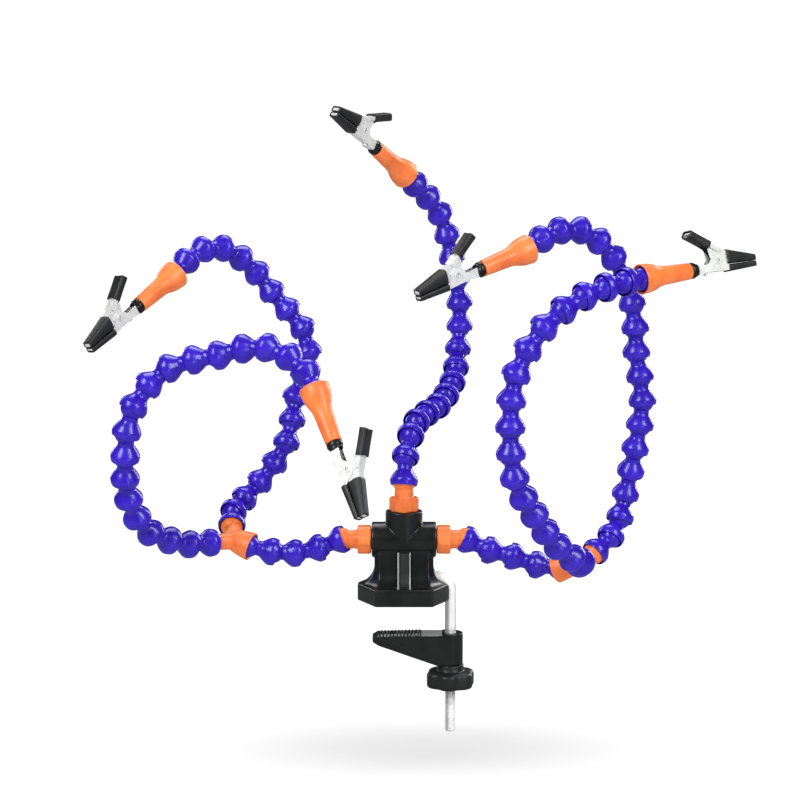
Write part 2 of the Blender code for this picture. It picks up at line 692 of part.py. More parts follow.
for arm, (step, aim, handle_up) in ARM_ENDS.items():
    first = Vector(PORTS["top"][1]) if arm == "centre" else None
    joints = walk(spline(ARM_ROUTES[arm]), ARM_SEGMENTS, first)
    for s in range(ARM_SEGMENTS // step):
        run = joints[s * step:(s + 1) * step + 1]
        label = "%s_%d" % (arm, s + 1)
        add("arm_" + label, section_body(run), blue_plastic(label),
            frame(run[0], run[1] - run[0], (0, 0, 1)))
    aim = unit(aim)
    add("nozzle_" + arm, nozzle(), orange_plastic("nozzle_" + arm),
        frame(joints[-1], aim, (0, 0, 1)), local=True)
    handle_up = Vector(handle_up)
    square_up = handle_up - handle_up.dot(aim) * aim
    add_clip(frame(joints[-1] + NOZZLE_L * aim, square_up, aim), arm)
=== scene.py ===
# Helping hands: a bench clamp whose hub carries five jointed hose arms, each ending in a
# nozzle and a covered clip.  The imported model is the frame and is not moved.
# X runs left to right, -Y is the front, +Z is up; the flange's underside is near z = 0 and
# the clamp's rod hangs below it.  Shapes are drawn in mm and scaled to metres in to_mesh().
from math import asin, copysign, cos, degrees, exp, hypot, pi, radians, sin

import bmesh
import bpy
from mathutils import Matrix, Vector


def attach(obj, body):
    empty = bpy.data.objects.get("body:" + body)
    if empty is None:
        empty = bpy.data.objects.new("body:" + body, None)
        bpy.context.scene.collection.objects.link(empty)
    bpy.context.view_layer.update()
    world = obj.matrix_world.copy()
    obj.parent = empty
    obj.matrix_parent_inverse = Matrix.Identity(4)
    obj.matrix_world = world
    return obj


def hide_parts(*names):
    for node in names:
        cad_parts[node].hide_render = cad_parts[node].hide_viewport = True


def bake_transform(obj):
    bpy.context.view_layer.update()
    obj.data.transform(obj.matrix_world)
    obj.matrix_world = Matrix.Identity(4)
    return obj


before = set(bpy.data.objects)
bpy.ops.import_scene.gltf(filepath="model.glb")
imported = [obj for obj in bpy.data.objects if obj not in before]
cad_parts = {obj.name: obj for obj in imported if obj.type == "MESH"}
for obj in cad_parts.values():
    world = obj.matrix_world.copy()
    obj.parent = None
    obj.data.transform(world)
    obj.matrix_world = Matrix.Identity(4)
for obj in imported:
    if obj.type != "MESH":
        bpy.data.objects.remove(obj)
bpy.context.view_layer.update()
MM = 0.001
IDENTITY = Matrix.Identity(4)

# ---------------------------------------------------------------- driving dimensions, mm
PITCH = 15.0                        # between hose joints
TILT_LIMIT = radians(26.0)          # most that one joint turns
SEGMENTS, STEM_SEGMENTS = 18, 4
HUB_Z, HUB_R, HUB_HALF = 36.7, 10.8, 19.5
TOP_PORT_Z = 54.0
FLANGE_X, FLANGE_Y, FLANGE_H = 27.7, 22.5, 10.0     # half length, half width, height
FLANGE_FRONT_X, FLANGE_SIDE_Y = 16.9, 2.5           # half lengths of its straight edges
PILLAR_X, PILLAR_Y, PILLAR_CHAMFER = 17.8, 11.0, 3.0
ROD_R, ROD_X, ROD_Z, ROD_BEND = 3.4, 28.3, 13.5, 8.0
ROD_THREAD_Z, ROD_END_Z = -19.0, -84.0
JAW_TOP, JAW_BOTTOM, JAW_BOSS_R = -20.8, -39.9, 7.6
JAW_TIP_X = -19.1
PAD_TIP_X, PAD_END_X, PAD_DROP = -15.2, 9.6, 0.6    # toothed pad, sinking towards its tip
KNOB_TOP, KNOB_COLLAR, KNOB_BOTTOM = -40.3, -43.2, -53.8
HEX_AF = 16.6                       # across the flats
BALL_OUT, BALL_R, NECK_R, BORE_R, SOCKET_R = 18.2, 7.0, 4.6, 3.2, 7.3
NOZZLE_L = 32.0
PIVOT_X, PIVOT_Z = 19.0, 3.3        # clip pin
BACK = Vector((0.538, 0, 0.843))    # out of the back of the clip's handle
TOOTH = 1.1                         # pitch of the clip's teeth
AT_ROD = Matrix.Translation((ROD_X, 0, 0))

# centre of the face, outward direction, direction of the connector's own X
PORTS = {
    "left": ((-HUB_HALF, 0, HUB_Z), (-1, 0, 0), (0, 0, 1)),
    "right": ((HUB_HALF, 0, HUB_Z), (1, 0, 0), (0, 0, 1)),
    "top": ((0, 0, TOP_PORT_Z), (0, 0, 1), (0, 1, 0)),
}
# Points on the centre lines.  The centre arm and both stems start from the ball of a port;
# the other arms start at the first point of their route, an outlet of a fork.
STEM_ROUTES = {
    "left": [(-51, 3, 31), (-65, 1, 28), (-79, -5, 30), (-93, -7, 34)],
    "right": [(51, 0, 30), (66, 1, 26), (80, 0, 21), (94, -5, 20)],
}
# aim: along the nozzle; handle_up: the clip's own Z; section: segments in one rigid run
ARMS = {
    "front_left": dict(
        route=[(-116, -12, 37), (-128, -22, 38), (-138, -31, 42), (-148, -40, 48),
               (-159, -56, 71), (-159, -69, 98), (-154, -74, 126), (-135, -67, 148),
               (-107, -70, 156), (-79, -78, 162), (-56, -92, 151), (-50, -102, 141)],
        aim=(0.33, -0.48, -0.81), handle_up=(0.80, -0.31, 0.51), section=6),
    "rear_left": dict(
        route=[(-105, 12, 43), (-105, 26, 49), (-99, 39, 55), (-90, 46, 64),
               (-73, 49, 89), (-68, 61, 116), (-60, 64, 145), (-75, 64, 170),
               (-92, 61, 194), (-112, 46, 210), (-132, 27, 202), (-140, 16, 194)],
        aim=(-0.57, -0.66, -0.49), handle_up=(-0.39, -0.30, 0.87), section=6),
    "front_right": dict(
        route=[(104, -25, 27), (104, -40, 31), (97, -52, 36), (88, -61, 45),
               (74, -76, 66), (62, -90, 89), (59, -95, 118), (62, -94, 148),
               (77, -93, 174), (100, -85, 191), (125, -70, 198), (136, -60, 199)],
        aim=(0.87, 0.48, 0.10), handle_up=(-0.17, 0.12, 0.98), section=6),
    "rear_right": dict(
        route=[(116, 0, 29), (126, 8, 37), (132, 17, 46), (136, 23, 60),
               (141, 18, 89), (145, 17, 118), (141, 17, 148), (138, 15, 178),
               (127, 13, 205), (106, 2, 223), (81, -14, 219), (71, -24, 213)],
        aim=(-0.81, -0.50, -0.30), handle_up=(-0.25, -0.16, 0.96), section=6),
    "centre": dict(
        route=[(1, 4, 87), (4, 13, 98), (8, 27, 105), (21, 52, 111),
               (31, 78, 123), (35, 101, 142), (36, 106, 171), (31, 104, 200),
               (23, 98, 229), (7, 82, 248), (0, 71, 255)],
        aim=(-0.53, -0.69, 0.49), handle_up=(0.37, 0.33, 0.87), section=9),
}

# ---------------------------------------------------------------- shader helpers


class Shader:
    """The node tree of a material or world, with short ways to add nodes."""

    def __init__(self, owner):
        owner.use_nodes = True
        self.nodes, self.links = owner.node_tree.nodes, owner.node_tree.links

    def fill(self, node, inputs):
        """Links or sets each input, by name or index."""
        for key, value in inputs.items():
            if isinstance(value, bpy.types.NodeSocket):
                self.links.new(value, node.inputs[key])
            else:
                node.inputs[key].default_value = value

    def add(self, kind, inputs=None, **settings):
        """Adds a node and returns its outputs."""
        node = self.nodes.new("ShaderNode" + kind)
        for key, value in settings.items():
            setattr(node, key, value)
        self.fill(node, inputs or {})
        return node.outputs

    def coord(self):
        return self.add("TexCoord")["Object"]

    def ramp(self, source, positions, colours):
        node = self.nodes.new("ShaderNodeValToRGB")
        self.links.new(source, node.inputs["Fac"])
        stops = node.color_ramp.elements
        while len(stops) < len(positions):
            stops.new(0.5)
        for stop, position, colour in zip(stops, positions, colours):
            stop.position = position
            stop.color = (*colour, 1)
        return node.outputs["Color"]

    def noise(self, coord, scale, detail=3.0, roughness=0.55, distortion=0.0):
        return self.add("TexNoise", {"Vector": coord, "Scale": scale, "Detail": detail,
                                     "Roughness": roughness, "Distortion": distortion})["Fac"]

    def math(self, operation, first, second):
        return self.add("Math", {0: first, 1: second}, operation=operation)["Value"]

    def mix(self, factor, first, second, blend="MIX"):
        return self.add("Mix", {0: factor, 6: first, 7: second},
                        data_type="RGBA", blend_type=blend)[2]

    def spread(self, value, low, high):
        """Maps 0..1 to low..high."""
        return self.add("MapRange", {"Value": value, "To Min": low, "To Max": high})["Result"]

    def bump(self, height, strength, distance):
        return self.add("Bump", {"Strength": strength, "Distance": distance,
                                 "Height": height})["Normal"]

    def edge_mask(self, radius):
        """Near 1 along edges and 0 on flats."""
        normal = self.add("NewGeometry")["Normal"]
        rounded = self.add("Bevel", {"Radius": radius}, samples=4)["Normal"]
        same = self.add("VectorMath", {0: normal, 1: rounded}, operation="DOT_PRODUCT")["Value"]
        return self.add("MapRange", {"Value": self.math("SUBTRACT", 1.0, same),
                                     "From Min": 0.0, "From Max": 0.25})["Result"]


def plastic(name, colours, rough, grain, bump, wear=None, wear_amount=0.0, subsurface=0.0,
            value_spread=0.0, specular=0.5, flow_mark=0.22):
    """Moulded plastic: slow drift through three colours, fine grain, flow marks in the gloss.

    wear is the colour of rubbed edges; value_spread varies the brightness between objects.
    """
    mat = bpy.data.materials.new(name)
    shader = Shader(mat)
    coord = shader.coord()
    drift = shader.noise(coord, scale=70.0, detail=2.0)
    colour = shader.ramp(drift, (0.28, 0.5, 0.74), colours)
    if value_spread:
        value = shader.spread(shader.add("ObjectInfo")["Random"],
                              1.0 - value_spread, 1.0 + value_spread)
        colour = shader.add("HueSaturation", {"Color": colour, "Value": value})["Color"]
    if wear is not None:
        edges = shader.edge_mask(radius=0.00045)
        patches = shader.noise(coord, scale=260.0, detail=4.0)
        rubbed = shader.math("MULTIPLY", edges, patches)
        rubbed = shader.math("MULTIPLY", rubbed, wear_amount * 2)
        rubbed = shader.math("MINIMUM", rubbed, 1.0)
        colour = shader.mix(rubbed, colour, (*wear, 1))
    flow = shader.noise(coord, scale=160.0, detail=5.0, roughness=0.6, distortion=0.6)
    fine = shader.noise(coord, scale=grain, roughness=0.6)
    soft = shader.noise(coord, scale=240.0, detail=2.0)
    height = shader.math("ADD", fine, shader.math("MULTIPLY", soft, 1.6))
    inputs = {
        "Base Color": colour,
        "Roughness": shader.spread(flow, rough * (1.0 - flow_mark),
                                   rough * (1.0 + flow_mark * 1.2)),
        "Normal": shader.bump(height, strength=bump, distance=0.0003),
        "Specular IOR Level": specular,
        "Coat Roughness": 0.08,
    }
    if subsurface:
        inputs.update({"Subsurface Weight": subsurface, "Subsurface Radius": (1.0, 0.45, 0.2),
                       "Subsurface Scale": 0.0022})
    shader.fill(shader.nodes["Principled BSDF"], inputs)
    return mat


def metal(name, colours, rough, bump, brushed=(1.0, 1.0, 1.0), spots=None, metallic=1.0,
          painted_reflection_bands=None):
    """Steel with drawn streaks and clouding.

    brushed scales the streaks; spots is the colour of dull dots; painted_reflection_bands holds
    (place, shade) pairs of painted reflection, darkening the metal by which way it faces the
    camera, from 0 at the view's left to 1.
    """
    mat = bpy.data.materials.new(name)
    shader = Shader(mat)
    coord = shader.coord()
    drawn = shader.add("Mapping", {"Scale": brushed, "Vector": coord})["Vector"]
    streak = shader.noise(drawn, scale=700.0)
    cloud = shader.noise(coord, scale=120.0)
    both = shader.math("MULTIPLY", shader.math("ADD", streak, cloud), 0.5)
    colour = shader.ramp(both, (0.3, 0.5, 0.7), colours)
    if spots is not None:
        cells = shader.add("TexVoronoi", {"Scale": 420.0, "Vector": coord})["Distance"]
        dots = shader.add("MapRange", {"Value": cells, "From Min": 0.10,
                                       "From Max": 0.02})["Result"]
        colour = shader.mix(shader.math("MULTIPLY", dots, 0.35), colour, (*spots, 1))
    # painted reflection: bands darkened by which way each face looks to the camera stand in for
    # reflected surroundings
    if painted_reflection_bands is not None:
        normal = shader.add("NewGeometry")["Normal"]
        seen = shader.add("VectorTransform", {"Vector": normal}, vector_type="NORMAL",
                          convert_from="WORLD", convert_to="CAMERA")["Vector"]
        across = shader.add("SeparateXYZ", {0: seen})["X"]
        side = shader.math("ADD", shader.math("MULTIPLY", across, 0.5), 0.5)
        shade = shader.ramp(side, [place for place, _ in painted_reflection_bands], [(grey,) * 3 for _, grey in painted_reflection_bands])
        colour = shader.mix(1.0, colour, shade, "MULTIPLY")
    shader.fill(shader.nodes["Principled BSDF"], {
        "Base Color": colour,
        "Metallic": metallic,
        "Roughness": shader.spread(both, rough * 0.6, rough * 1.5),
        "Normal": shader.bump(streak, strength=bump, distance=0.0002),
    })
    return mat


# ---------------------------------------------------------------- materials
# the three colours are deep, base and light

BLUE = plastic(
    "blue_hose_plastic", [(0.018, 0.004, 0.32), (0.026, 0.007, 0.40), (0.036, 0.011, 0.48)],
    rough=0.25, grain=500.0, bump=0.0, wear=(0.085, 0.06, 0.62), wear_amount=0.25,
    value_spread=0.06, specular=0.52, flow_mark=0.05)
ORANGE = plastic(
    "orange_fitting_plastic", [(0.70, 0.138, 0.025), (0.80, 0.182, 0.037), (0.88, 0.235, 0.056)],
    rough=0.38, grain=700.0, bump=0.04, wear=(0.90, 0.42, 0.22), wear_amount=0.45,
    subsurface=0.08, value_spread=0.03, flow_mark=0.15)
BLACK = plastic(
    "black_moulded_nylon",
    [(0.0030, 0.0038, 0.0036), (0.0060, 0.0075, 0.0070), (0.0100, 0.0118, 0.0110)],
    rough=0.30, grain=1300.0, bump=0.06, wear=(0.14, 0.145, 0.145), wear_amount=0.6)
# Painted highlight: pale grey for the floor of the jaw's recess and the tips of its front teeth,
# standing in for light catching them.
JAW_PAINTED_HIGHLIGHT = plastic(
    "nylon_painted_highlight", [(0.24, 0.24, 0.24), (0.33, 0.33, 0.33), (0.42, 0.42, 0.42)],
    rough=0.30, grain=1500.0, bump=0.03)
# Painted highlight: pale grey on the front faces of the clamp's ribs, standing in for light
# glinting off their rounded edges.
RIB_PAINTED_HIGHLIGHT = plastic(
    "nylon_painted_highlight_edge", [(0.22, 0.22, 0.22), (0.33, 0.33, 0.33), (0.46, 0.46, 0.46)],
    rough=0.24, grain=1500.0, bump=0.02, specular=0.6)
# Painted light: black nylon a little lighter than the body, for the ramp between the front ribs
# where light falls on it; its edges are worn paler.
RAMP_PAINTED_LIGHT = plastic(
    "nylon_painted_light", [(0.018, 0.019, 0.0185), (0.026, 0.027, 0.0265), (0.036, 0.037, 0.0365)],
    rough=0.40, grain=1300.0, bump=0.05, wear=(0.12, 0.125, 0.125), wear_amount=0.4,
    specular=0.36)
KNOB_BLACK = plastic(
    "black_knob_plastic",
    [(0.0030, 0.0034, 0.0036), (0.0080, 0.0090, 0.0092), (0.0130, 0.0140, 0.0142)],
    rough=0.42, grain=1100.0, bump=0.05, wear=(0.13, 0.135, 0.135), wear_amount=0.5,
    specular=0.48)
PLUG_BLACK = plastic(
    "black_plug_plastic", [(0.004, 0.004, 0.004), (0.007, 0.007, 0.007), (0.011, 0.011, 0.011)],
    rough=0.30, grain=1300.0, bump=0.05, wear=(0.10, 0.10, 0.10), wear_amount=0.5,
    specular=0.38)
VINYL = plastic(
    "black_sleeve_vinyl", [(0.009, 0.0093, 0.0098), (0.015, 0.0155, 0.016), (0.024, 0.025, 0.026)],
    rough=0.40, grain=1500.0, bump=0.10, wear=(0.10, 0.10, 0.105), wear_amount=0.5,
    specular=0.36)
# Painted reflection: light colours with little metal, darkened in bands by which way each face
# looks to the camera, stand in for the surroundings reflected in the polished rod and its thread.
STEEL = metal(
    "steel_painted_reflection", [(0.92, 0.92, 0.93), (0.98, 0.98, 0.98), (1.0, 1.0, 1.0)],
    rough=0.22, bump=0.02, brushed=(12.0, 12.0, 0.6), metallic=0.10,
    painted_reflection_bands=((0.0, 0.62), (0.12, 0.46), (0.30, 0.50), (0.42, 1.0), (0.86, 1.0), (0.95, 0.60),
         (1.0, 0.66)))
THREAD = metal(
    "threaded_steel_painted_reflection", [(0.50, 0.50, 0.51), (0.80, 0.80, 0.80), (0.98, 0.98, 0.98)],
    rough=0.30, bump=0.03, metallic=0.15,
    painted_reflection_bands=((0.0, 0.72), (0.18, 0.50), (0.34, 0.60), (0.46, 0.92), (0.85, 0.95), (1.0, 0.70)))
NICKEL = metal(
    "nickel_plated_steel", [(0.63, 0.635, 0.62), (0.75, 0.76, 0.74), (0.86, 0.865, 0.845)],
    rough=0.28, bump=0.03, brushed=(0.8, 6.0, 6.0), spots=(0.22, 0.215, 0.20), metallic=0.28)
SPRING_STEEL = metal(
    "dark_spring_steel", [(0.018, 0.018, 0.019), (0.035, 0.035, 0.037), (0.07, 0.07, 0.075)],
    rough=0.34, bump=0.05)
ZINC = metal(
    "zinc_insert", [(0.40, 0.40, 0.39), (0.54, 0.54, 0.52), (0.68, 0.68, 0.66)],
    rough=0.32, bump=0.04)

# ---------------------------------------------------------------- mesh helpers, in mm


def unit(vector):
    return Vector(vector).normalized()


def axes(origin, x, y, z):
    pose = Matrix((x, y, z)).transposed().to_4x4()
    pose.translation = Vector(origin)
    return pose


def square_to(vector, direction):
    """The part of vector square to a unit direction, as a unit vector."""
    vector = Vector(vector)
    return (vector - vector.dot(direction) * direction).normalized()


def frame(origin, z, x_hint):
    """A pose with Z along z and X as near x_hint as it can be."""
    z = unit(z)
    x = square_to(x_hint, z)
    return axes(origin, x, z.cross(x), z)


def clip_frame(origin, x, z_hint):
    x = unit(x)
    z = square_to(z_hint, x)
    return axes(origin, x, z.cross(x), z)


def x_axis(pose):
    return pose.to_3x3() @ Vector((1, 0, 0))


def fillets(profile, radius=0, steps=4, closed=False):
    """Rounds the profile's corners; a point may carry its own radius as a third value."""
    count = len(profile)
    out = []
    for i, (x, y, *own) in enumerate(profile):
        corner = Vector((x, y))
        size = own[0] if own else radius
        back = Vector(profile[i - 1][:2]) - corner
        ahead = Vector(profile[(i + 1) % count][:2]) - corner
        half = back.angle(ahead) / 2
        at_end = not closed and i in (0, count - 1)
        if size <= 0 or at_end or half > radians(87):
            out.append((corner.x, corner.y))
            continue
        from math import tan
        trim = min(size / tan(half), back.length * 0.48, ahead.length * 0.48)
        start = corner + back.normalized() * trim
        end = corner + ahead.normalized() * trim
        for k in range(steps + 1):
            f = k / steps
            point = start * (1 - f) ** 2 + corner * 2 * f * (1 - f) + end * f * f
            out.append((point.x, point.y))
    return out


def ring_loft(rings, loop=False, start=None, end=None):
    """Skins rings of points.  loop joins last to first; else ends close flat or on a pole."""
    shell = bmesh.new()
    rows = [[shell.verts.new(point) for point in ring] for ring in rings]
    count = len(rows[0])
    pairs = list(zip(rows, rows[1:])) + ([(rows[-1], rows[0])] if loop else [])
    for near, far in pairs:
        for i in range(count):
            j = (i + 1) % count
            shell.faces.new((near[i], near[j], far[j], far[i]))
    if not loop:
        for row, pole, flip in ((rows[0], start, True), (rows[-1], end, False)):
            if pole is None:
                shell.faces.new(list(reversed(row)) if flip else row)
                continue
            tip = shell.verts.new(pole)
            for i in range(count):
                j = (i + 1) % count
                shell.faces.new((tip, row[j], row[i]) if flip else (tip, row[i], row[j]))
    bmesh.ops.recalc_face_normals(shell, faces=shell.faces)
    return shell


def circle(pose, height, radius, count):
    """Points about the pose's Z; radius is a number or a function of the angle."""
    points = []
    for i in range(count):
        angle = 2 * pi * i / count
        reach = radius(angle) if callable(radius) else radius
        points.append(pose @ Vector((reach * cos(angle), reach * sin(angle), height)))
    return points


def turn(profile, count, pose=IDENTITY, loop=False):
    """Turns (height, radius) pairs about Z.  loop closes the profile itself, leaving a bore."""
    start = end = None
    if not loop:
        if profile[0][1] == 0:
            start, profile = pose @ Vector((0, 0, profile[0][0])), profile[1:]
        if profile[-1][1] == 0:
            end, profile = pose @ Vector((0, 0, profile[-1][0])), profile[:-1]
    rings = [circle(pose, height, radius, count) for height, radius in profile]
    return ring_loft(rings, loop, start, end)


def poses_along(points, hint):
    """A pose at each point with Z along the path, carried on without twist."""
    poses = []
    for i, point in enumerate(points):
        along = points[min(i + 1, len(points) - 1)] - points[max(i - 1, 0)]
        poses.append(frame(point, along, hint))
        hint = x_axis(poses[-1])
    return poses


def sweep(points, radius, count, hint=(0, 1, 0)):
    return ring_loft([circle(pose, 0, radius, count) for pose in poses_along(points, hint)])


def prism(outline, half, pose=IDENTITY):
    """An outline in X and Z pushed out by half to each side along Y."""
    shell = bmesh.new()
    near, far = ([shell.verts.new(pose @ Vector((x, y, z))) for x, z in outline]
                 for y in (-half, half))
    shell.faces.new(near)
    shell.faces.new(list(reversed(far)))
    for i in range(len(outline)):
        j = (i + 1) % len(outline)
        shell.faces.new((near[j], near[i], far[i], far[j]))
    bmesh.ops.recalc_face_normals(shell, faces=shell.faces)
    return shell


def joined(shells):
    """Several closed shells as one."""
    out = bmesh.new()
    for shell in shells:
        data = bpy.data.meshes.new("tmp")
        shell.to_mesh(data)
        shell.free()
        out.from_mesh(data)
        bpy.data.meshes.remove(data)
    return out


def temp_object(shell):
    data = bpy.data.meshes.new("work")
    shell.to_mesh(data)
    shell.free()
    work = bpy.data.objects.new("work", data)
    bpy.context.scene.collection.objects.link(work)
    return work


def applied(work):
    """The object's mesh with its modifiers applied; the object goes."""
    bpy.context.view_layer.update()
    evaluated = work.evaluated_get(bpy.context.evaluated_depsgraph_get())
    data = bpy.data.meshes.new_from_object(evaluated)
    out = bmesh.new()
    out.from_mesh(data)
    bpy.data.objects.remove(work, do_unlink=True)
    bpy.data.meshes.remove(data)
    return out


def combine(base, operation, tools):
    for tool in tools:
        work, cutter = temp_object(base), temp_object(tool)
        boolean = work.modifiers.new("boolean", "BOOLEAN")
        boolean.operation = operation
        boolean.solver = "EXACT"
        boolean.object = cutter
        base = applied(work)
        bpy.data.objects.remove(cutter, do_unlink=True)
        bmesh.ops.remove_doubles(base, verts=base.verts, dist=0.001)
    return base


def unite(base, *tools):
    return combine(base, "UNION", tools)


def cut(base, *tools):
    return combine(base, "DIFFERENCE", tools)


def moulded(shell, voxel, smoothing):
    """Softens every edge and crease the way a mould does."""
    work = temp_object(shell)
    remesh = work.modifiers.new("remesh", "REMESH")
    remesh.mode = "VOXEL"
    remesh.voxel_size = voxel
    remesh.adaptivity = 0.0
    smooth = work.modifiers.new("smooth", "SMOOTH")
    smooth.factor = 0.5
    smooth.iterations = smoothing
    return applied(work)


def to_mesh(shell, name, mat, angle, other=None, where=None):
    """Mesh data in metres, with edges over the angle in degrees sharp.

    Faces that where(centre, normal) picks take the other material.
    """
    if where is not None:
        shell.normal_update()
        for face in shell.faces:
            face.material_index = int(bool(where(face.calc_center_median(), face.normal)))
    bmesh.ops.scale(shell, vec=(MM, MM, MM), verts=shell.verts)
    data = bpy.data.meshes.new(name)
    shell.to_mesh(data)
    shell.free()
    data.materials.append(mat)
    if other is not None:
        data.materials.append(other)
    data.shade_smooth()
    if angle is not None:
        data.set_sharp_from_angle(angle=radians(angle))
    return data


def stand(name, data, pose):
    """An object at a pose given in mm."""
    item = bpy.data.objects.new(name, data)
    bpy.context.scene.collection.objects.link(item)
    world_pose = pose.copy()
    world_pose.translation = pose.translation * MM
    item.matrix_world = world_pose
    return item


def place(name, data, pose, body, slot, stands_for=None, bevel=0.0, segments=2):
    """An object that rides with a body and may stand for one CAD piece."""
    item = stand(name, data, pose)
    if bevel:
        edge = item.modifiers.new("edge", "BEVEL")
        edge.width = bevel * MM
        edge.segments = segments
        edge.limit_method = "ANGLE"
        edge.angle_limit = radians(38)
        edge.use_clamp_overlap = True
        edge.miter_outer = "MITER_ARC"
        normals = item.modifiers.new("normals", "WEIGHTED_NORMAL")
        normals.keep_sharp = True
    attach(item, body)
    if stands_for:
        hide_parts(stands_for)


# ---------------------------------------------------------------- arm routes


def spline(points, steps=40):
    """A Catmull-Rom curve through the points, its knots spaced by chord, as a polyline."""
    points = [Vector(point) for point in points]
    points = [2 * points[0] - points[1]] + points + [2 * points[-1] - points[-2]]
    out = []
    for i in range(1, len(points) - 2):
        near = points[i - 1:i + 3]
        knots = [0.0]
        for here, after in zip(near, near[1:]):
            knots.append(knots[-1] + (after - here).length)
        for k in range(steps):
            along = knots[1] + (knots[2] - knots[1]) * k / steps
            lines = [near[j].lerp(near[j + 1], (along - knots[j]) / (knots[j + 1] - knots[j]))
                     for j in range(3)]
            bends = [lines[j].lerp(lines[j + 1], (along - knots[j]) / (knots[j + 2] - knots[j]))
                     for j in range(2)]
            out.append(bends[0].lerp(bends[1], (along - knots[1]) / (knots[2] - knots[1])))
    out.append(points[-2])
    return out


def walk(path, count, heading=None):
    """Joint centres PITCH apart along the path, none turning more than TILT_LIMIT."""
    joints, i = [path[0]], 0
    while len(joints) <= count:
        here = joints[-1]
        while i < len(path) - 1 and (path[i + 1] - here).length < PITCH:
            i += 1
        if i >= len(path) - 1:
            step = unit(path[-1] - path[-2])
        else:
            low, high = 0.0, 1.0
            for _ in range(40):
                middle = (low + high) / 2
                if (path[i].lerp(path[i + 1], middle) - here).length < PITCH:
                    low = middle
                else:
                    high = middle
            step = unit(path[i].lerp(path[i + 1], low) - here)
        if heading is not None and heading.angle(step) > TILT_LIMIT:
            pivot = heading.cross(step).normalized()
            step = Matrix.Rotation(TILT_LIMIT, 3, pivot) @ heading
        heading = step
        joints.append(here + PITCH * step)
    return joints


def walk_from_port(side, route, count):
    ball = frame(*PORTS[side]) @ Vector((0, 0, BALL_OUT))
    return walk(spline([ball] + route), count, Vector(PORTS[side][1]))


def fork_layout(side):
    """The fork's pose at the end of its stem, and its two outlets."""
    before, end = STEMS[side][-2:]
    outlets = [Vector(ARMS[row + side]["route"][0]) for row in ("front_", "rear_")]
    first, second = (outlet - end for outlet in outlets)
    axis = unit(0.87 * unit(unit(first) + unit(second)) + 0.13 * unit(end - before))
    return frame(end, axis, first), outlets


STEMS = {side: walk_from_port(side, route, STEM_SEGMENTS) for side, route in STEM_ROUTES.items()}
FORKS = {side: fork_layout(side) for side in STEMS}
CHAINS = {name: walk_from_port("top", arm["route"], SEGMENTS) if name == "centre"
          else walk(spline(arm["route"]), SEGMENTS) for name, arm in ARMS.items()}

# ---------------------------------------------------------------- clamp body


def octagon(half_x, half_y, edge_x, edge_y):
    """A rectangle with cut corners; edge_x and edge_y are half its straight edges."""
    return [(-edge_x, -half_y), (edge_x, -half_y), (half_x, -edge_y), (half_x, edge_y),
            (edge_x, half_y), (-edge_x, half_y), (-half_x, edge_y), (-half_x, -edge_y)]


def rod_path(start_x):
    """Out along X, then a quarter turn down."""
    points = [Vector((start_x, 0, ROD_Z)), Vector((start_x + 8, 0, ROD_Z))]
    for k in range(19):
        angle = radians(5 * k)
        points.append(Vector((ROD_X - ROD_BEND + ROD_BEND * sin(angle), 0,
                              ROD_Z - ROD_BEND + ROD_BEND * cos(angle))))
    return points


def clamp_body():
    flange = octagon(FLANGE_X + 0.4, FLANGE_Y + 0.3, FLANGE_FRONT_X + 0.3, FLANGE_SIDE_Y)
    pillar = octagon(PILLAR_X, PILLAR_Y, PILLAR_X - PILLAR_CHAMFER, PILLAR_Y - PILLAR_CHAMFER)

    def ring(z, share):
        """Between the pillar at 0 and the flange at 1."""
        return [Vector((x1 + (x0 - x1) * share, y1 + (y0 - y1) * share, z))
                for (x0, y0), (x1, y1) in zip(flange, pillar)]
    rings = [ring(-0.25, 0.985), ring(0.2, 1.0), ring(FLANGE_H - 1.1, 1.0),
             ring(FLANGE_H - 0.5, 0.975)]
    # a hollow sweep from the flange up to the pillar
    for k in range(11):
        angle = radians(9 * k)
        rings.append(ring(FLANGE_H + 11.0 * (1 - cos(angle)), 0.90 * (1 - sin(angle))))
    # the pillar narrows as it runs up into the barrel: z, scale in X, scale in Y
    for z, scale_x, scale_y in ((25.0, 1.0, 0.93), (28.5, 1.0, 0.87), (32.0, 1.0, 0.78),
                                (39.0, 0.82, 0.55)):
        rings.append([Vector((x * scale_x, y * scale_y, z)) for x, y in pillar])

    at_hub = Matrix.Translation((0, 0, HUB_Z))
    barrel = turn(fillets([(-HUB_HALF, 0), (-HUB_HALF, HUB_R - 0.1, 0.9),
                           (HUB_HALF, HUB_R - 0.1, 0.9), (HUB_HALF, 0)]),
                  96, at_hub @ Matrix.Rotation(radians(90), 4, "Y"))
    top = turn(fillets([(HUB_Z - 0.6, 0), (HUB_Z - 0.6, HUB_R + 0.15),
                        (TOP_PORT_Z + 0.4, HUB_R + 0.4, 1.0), (TOP_PORT_Z + 0.4, 9.9, 0.4),
                        (TOP_PORT_Z - 0.1, 9.8, 0.2), (TOP_PORT_Z - 0.1, 0)]), 96)
    # low oval foot on the flange in front of the pillar
    foot = turn([(8.6, 0), (8.6, 11.4), (10.7, 11.4), (11.2, 10.9), (11.2, 0)], 72,
                Matrix.Translation((0.2, -9.6, 0)) @ Matrix.Diagonal((1, 0.86, 1, 1)))
    port_r = 6.5
    bores = [turn([(HUB_HALF - 8, port_r), (HUB_HALF + 3, port_r)], 48,
                  at_hub @ Matrix.Rotation(radians(angle), 4, "Y")) for angle in (90, -90)]
    bores.append(turn([(TOP_PORT_Z - 8, port_r), (TOP_PORT_Z + 3, port_r)], 48))
    bores.append(sweep(rod_path(-13.0) + [Vector((ROD_X, 0, -6.0))], 4.05, 40))
    return cut(unite(ring_loft(rings), barrel, top, foot), *bores)


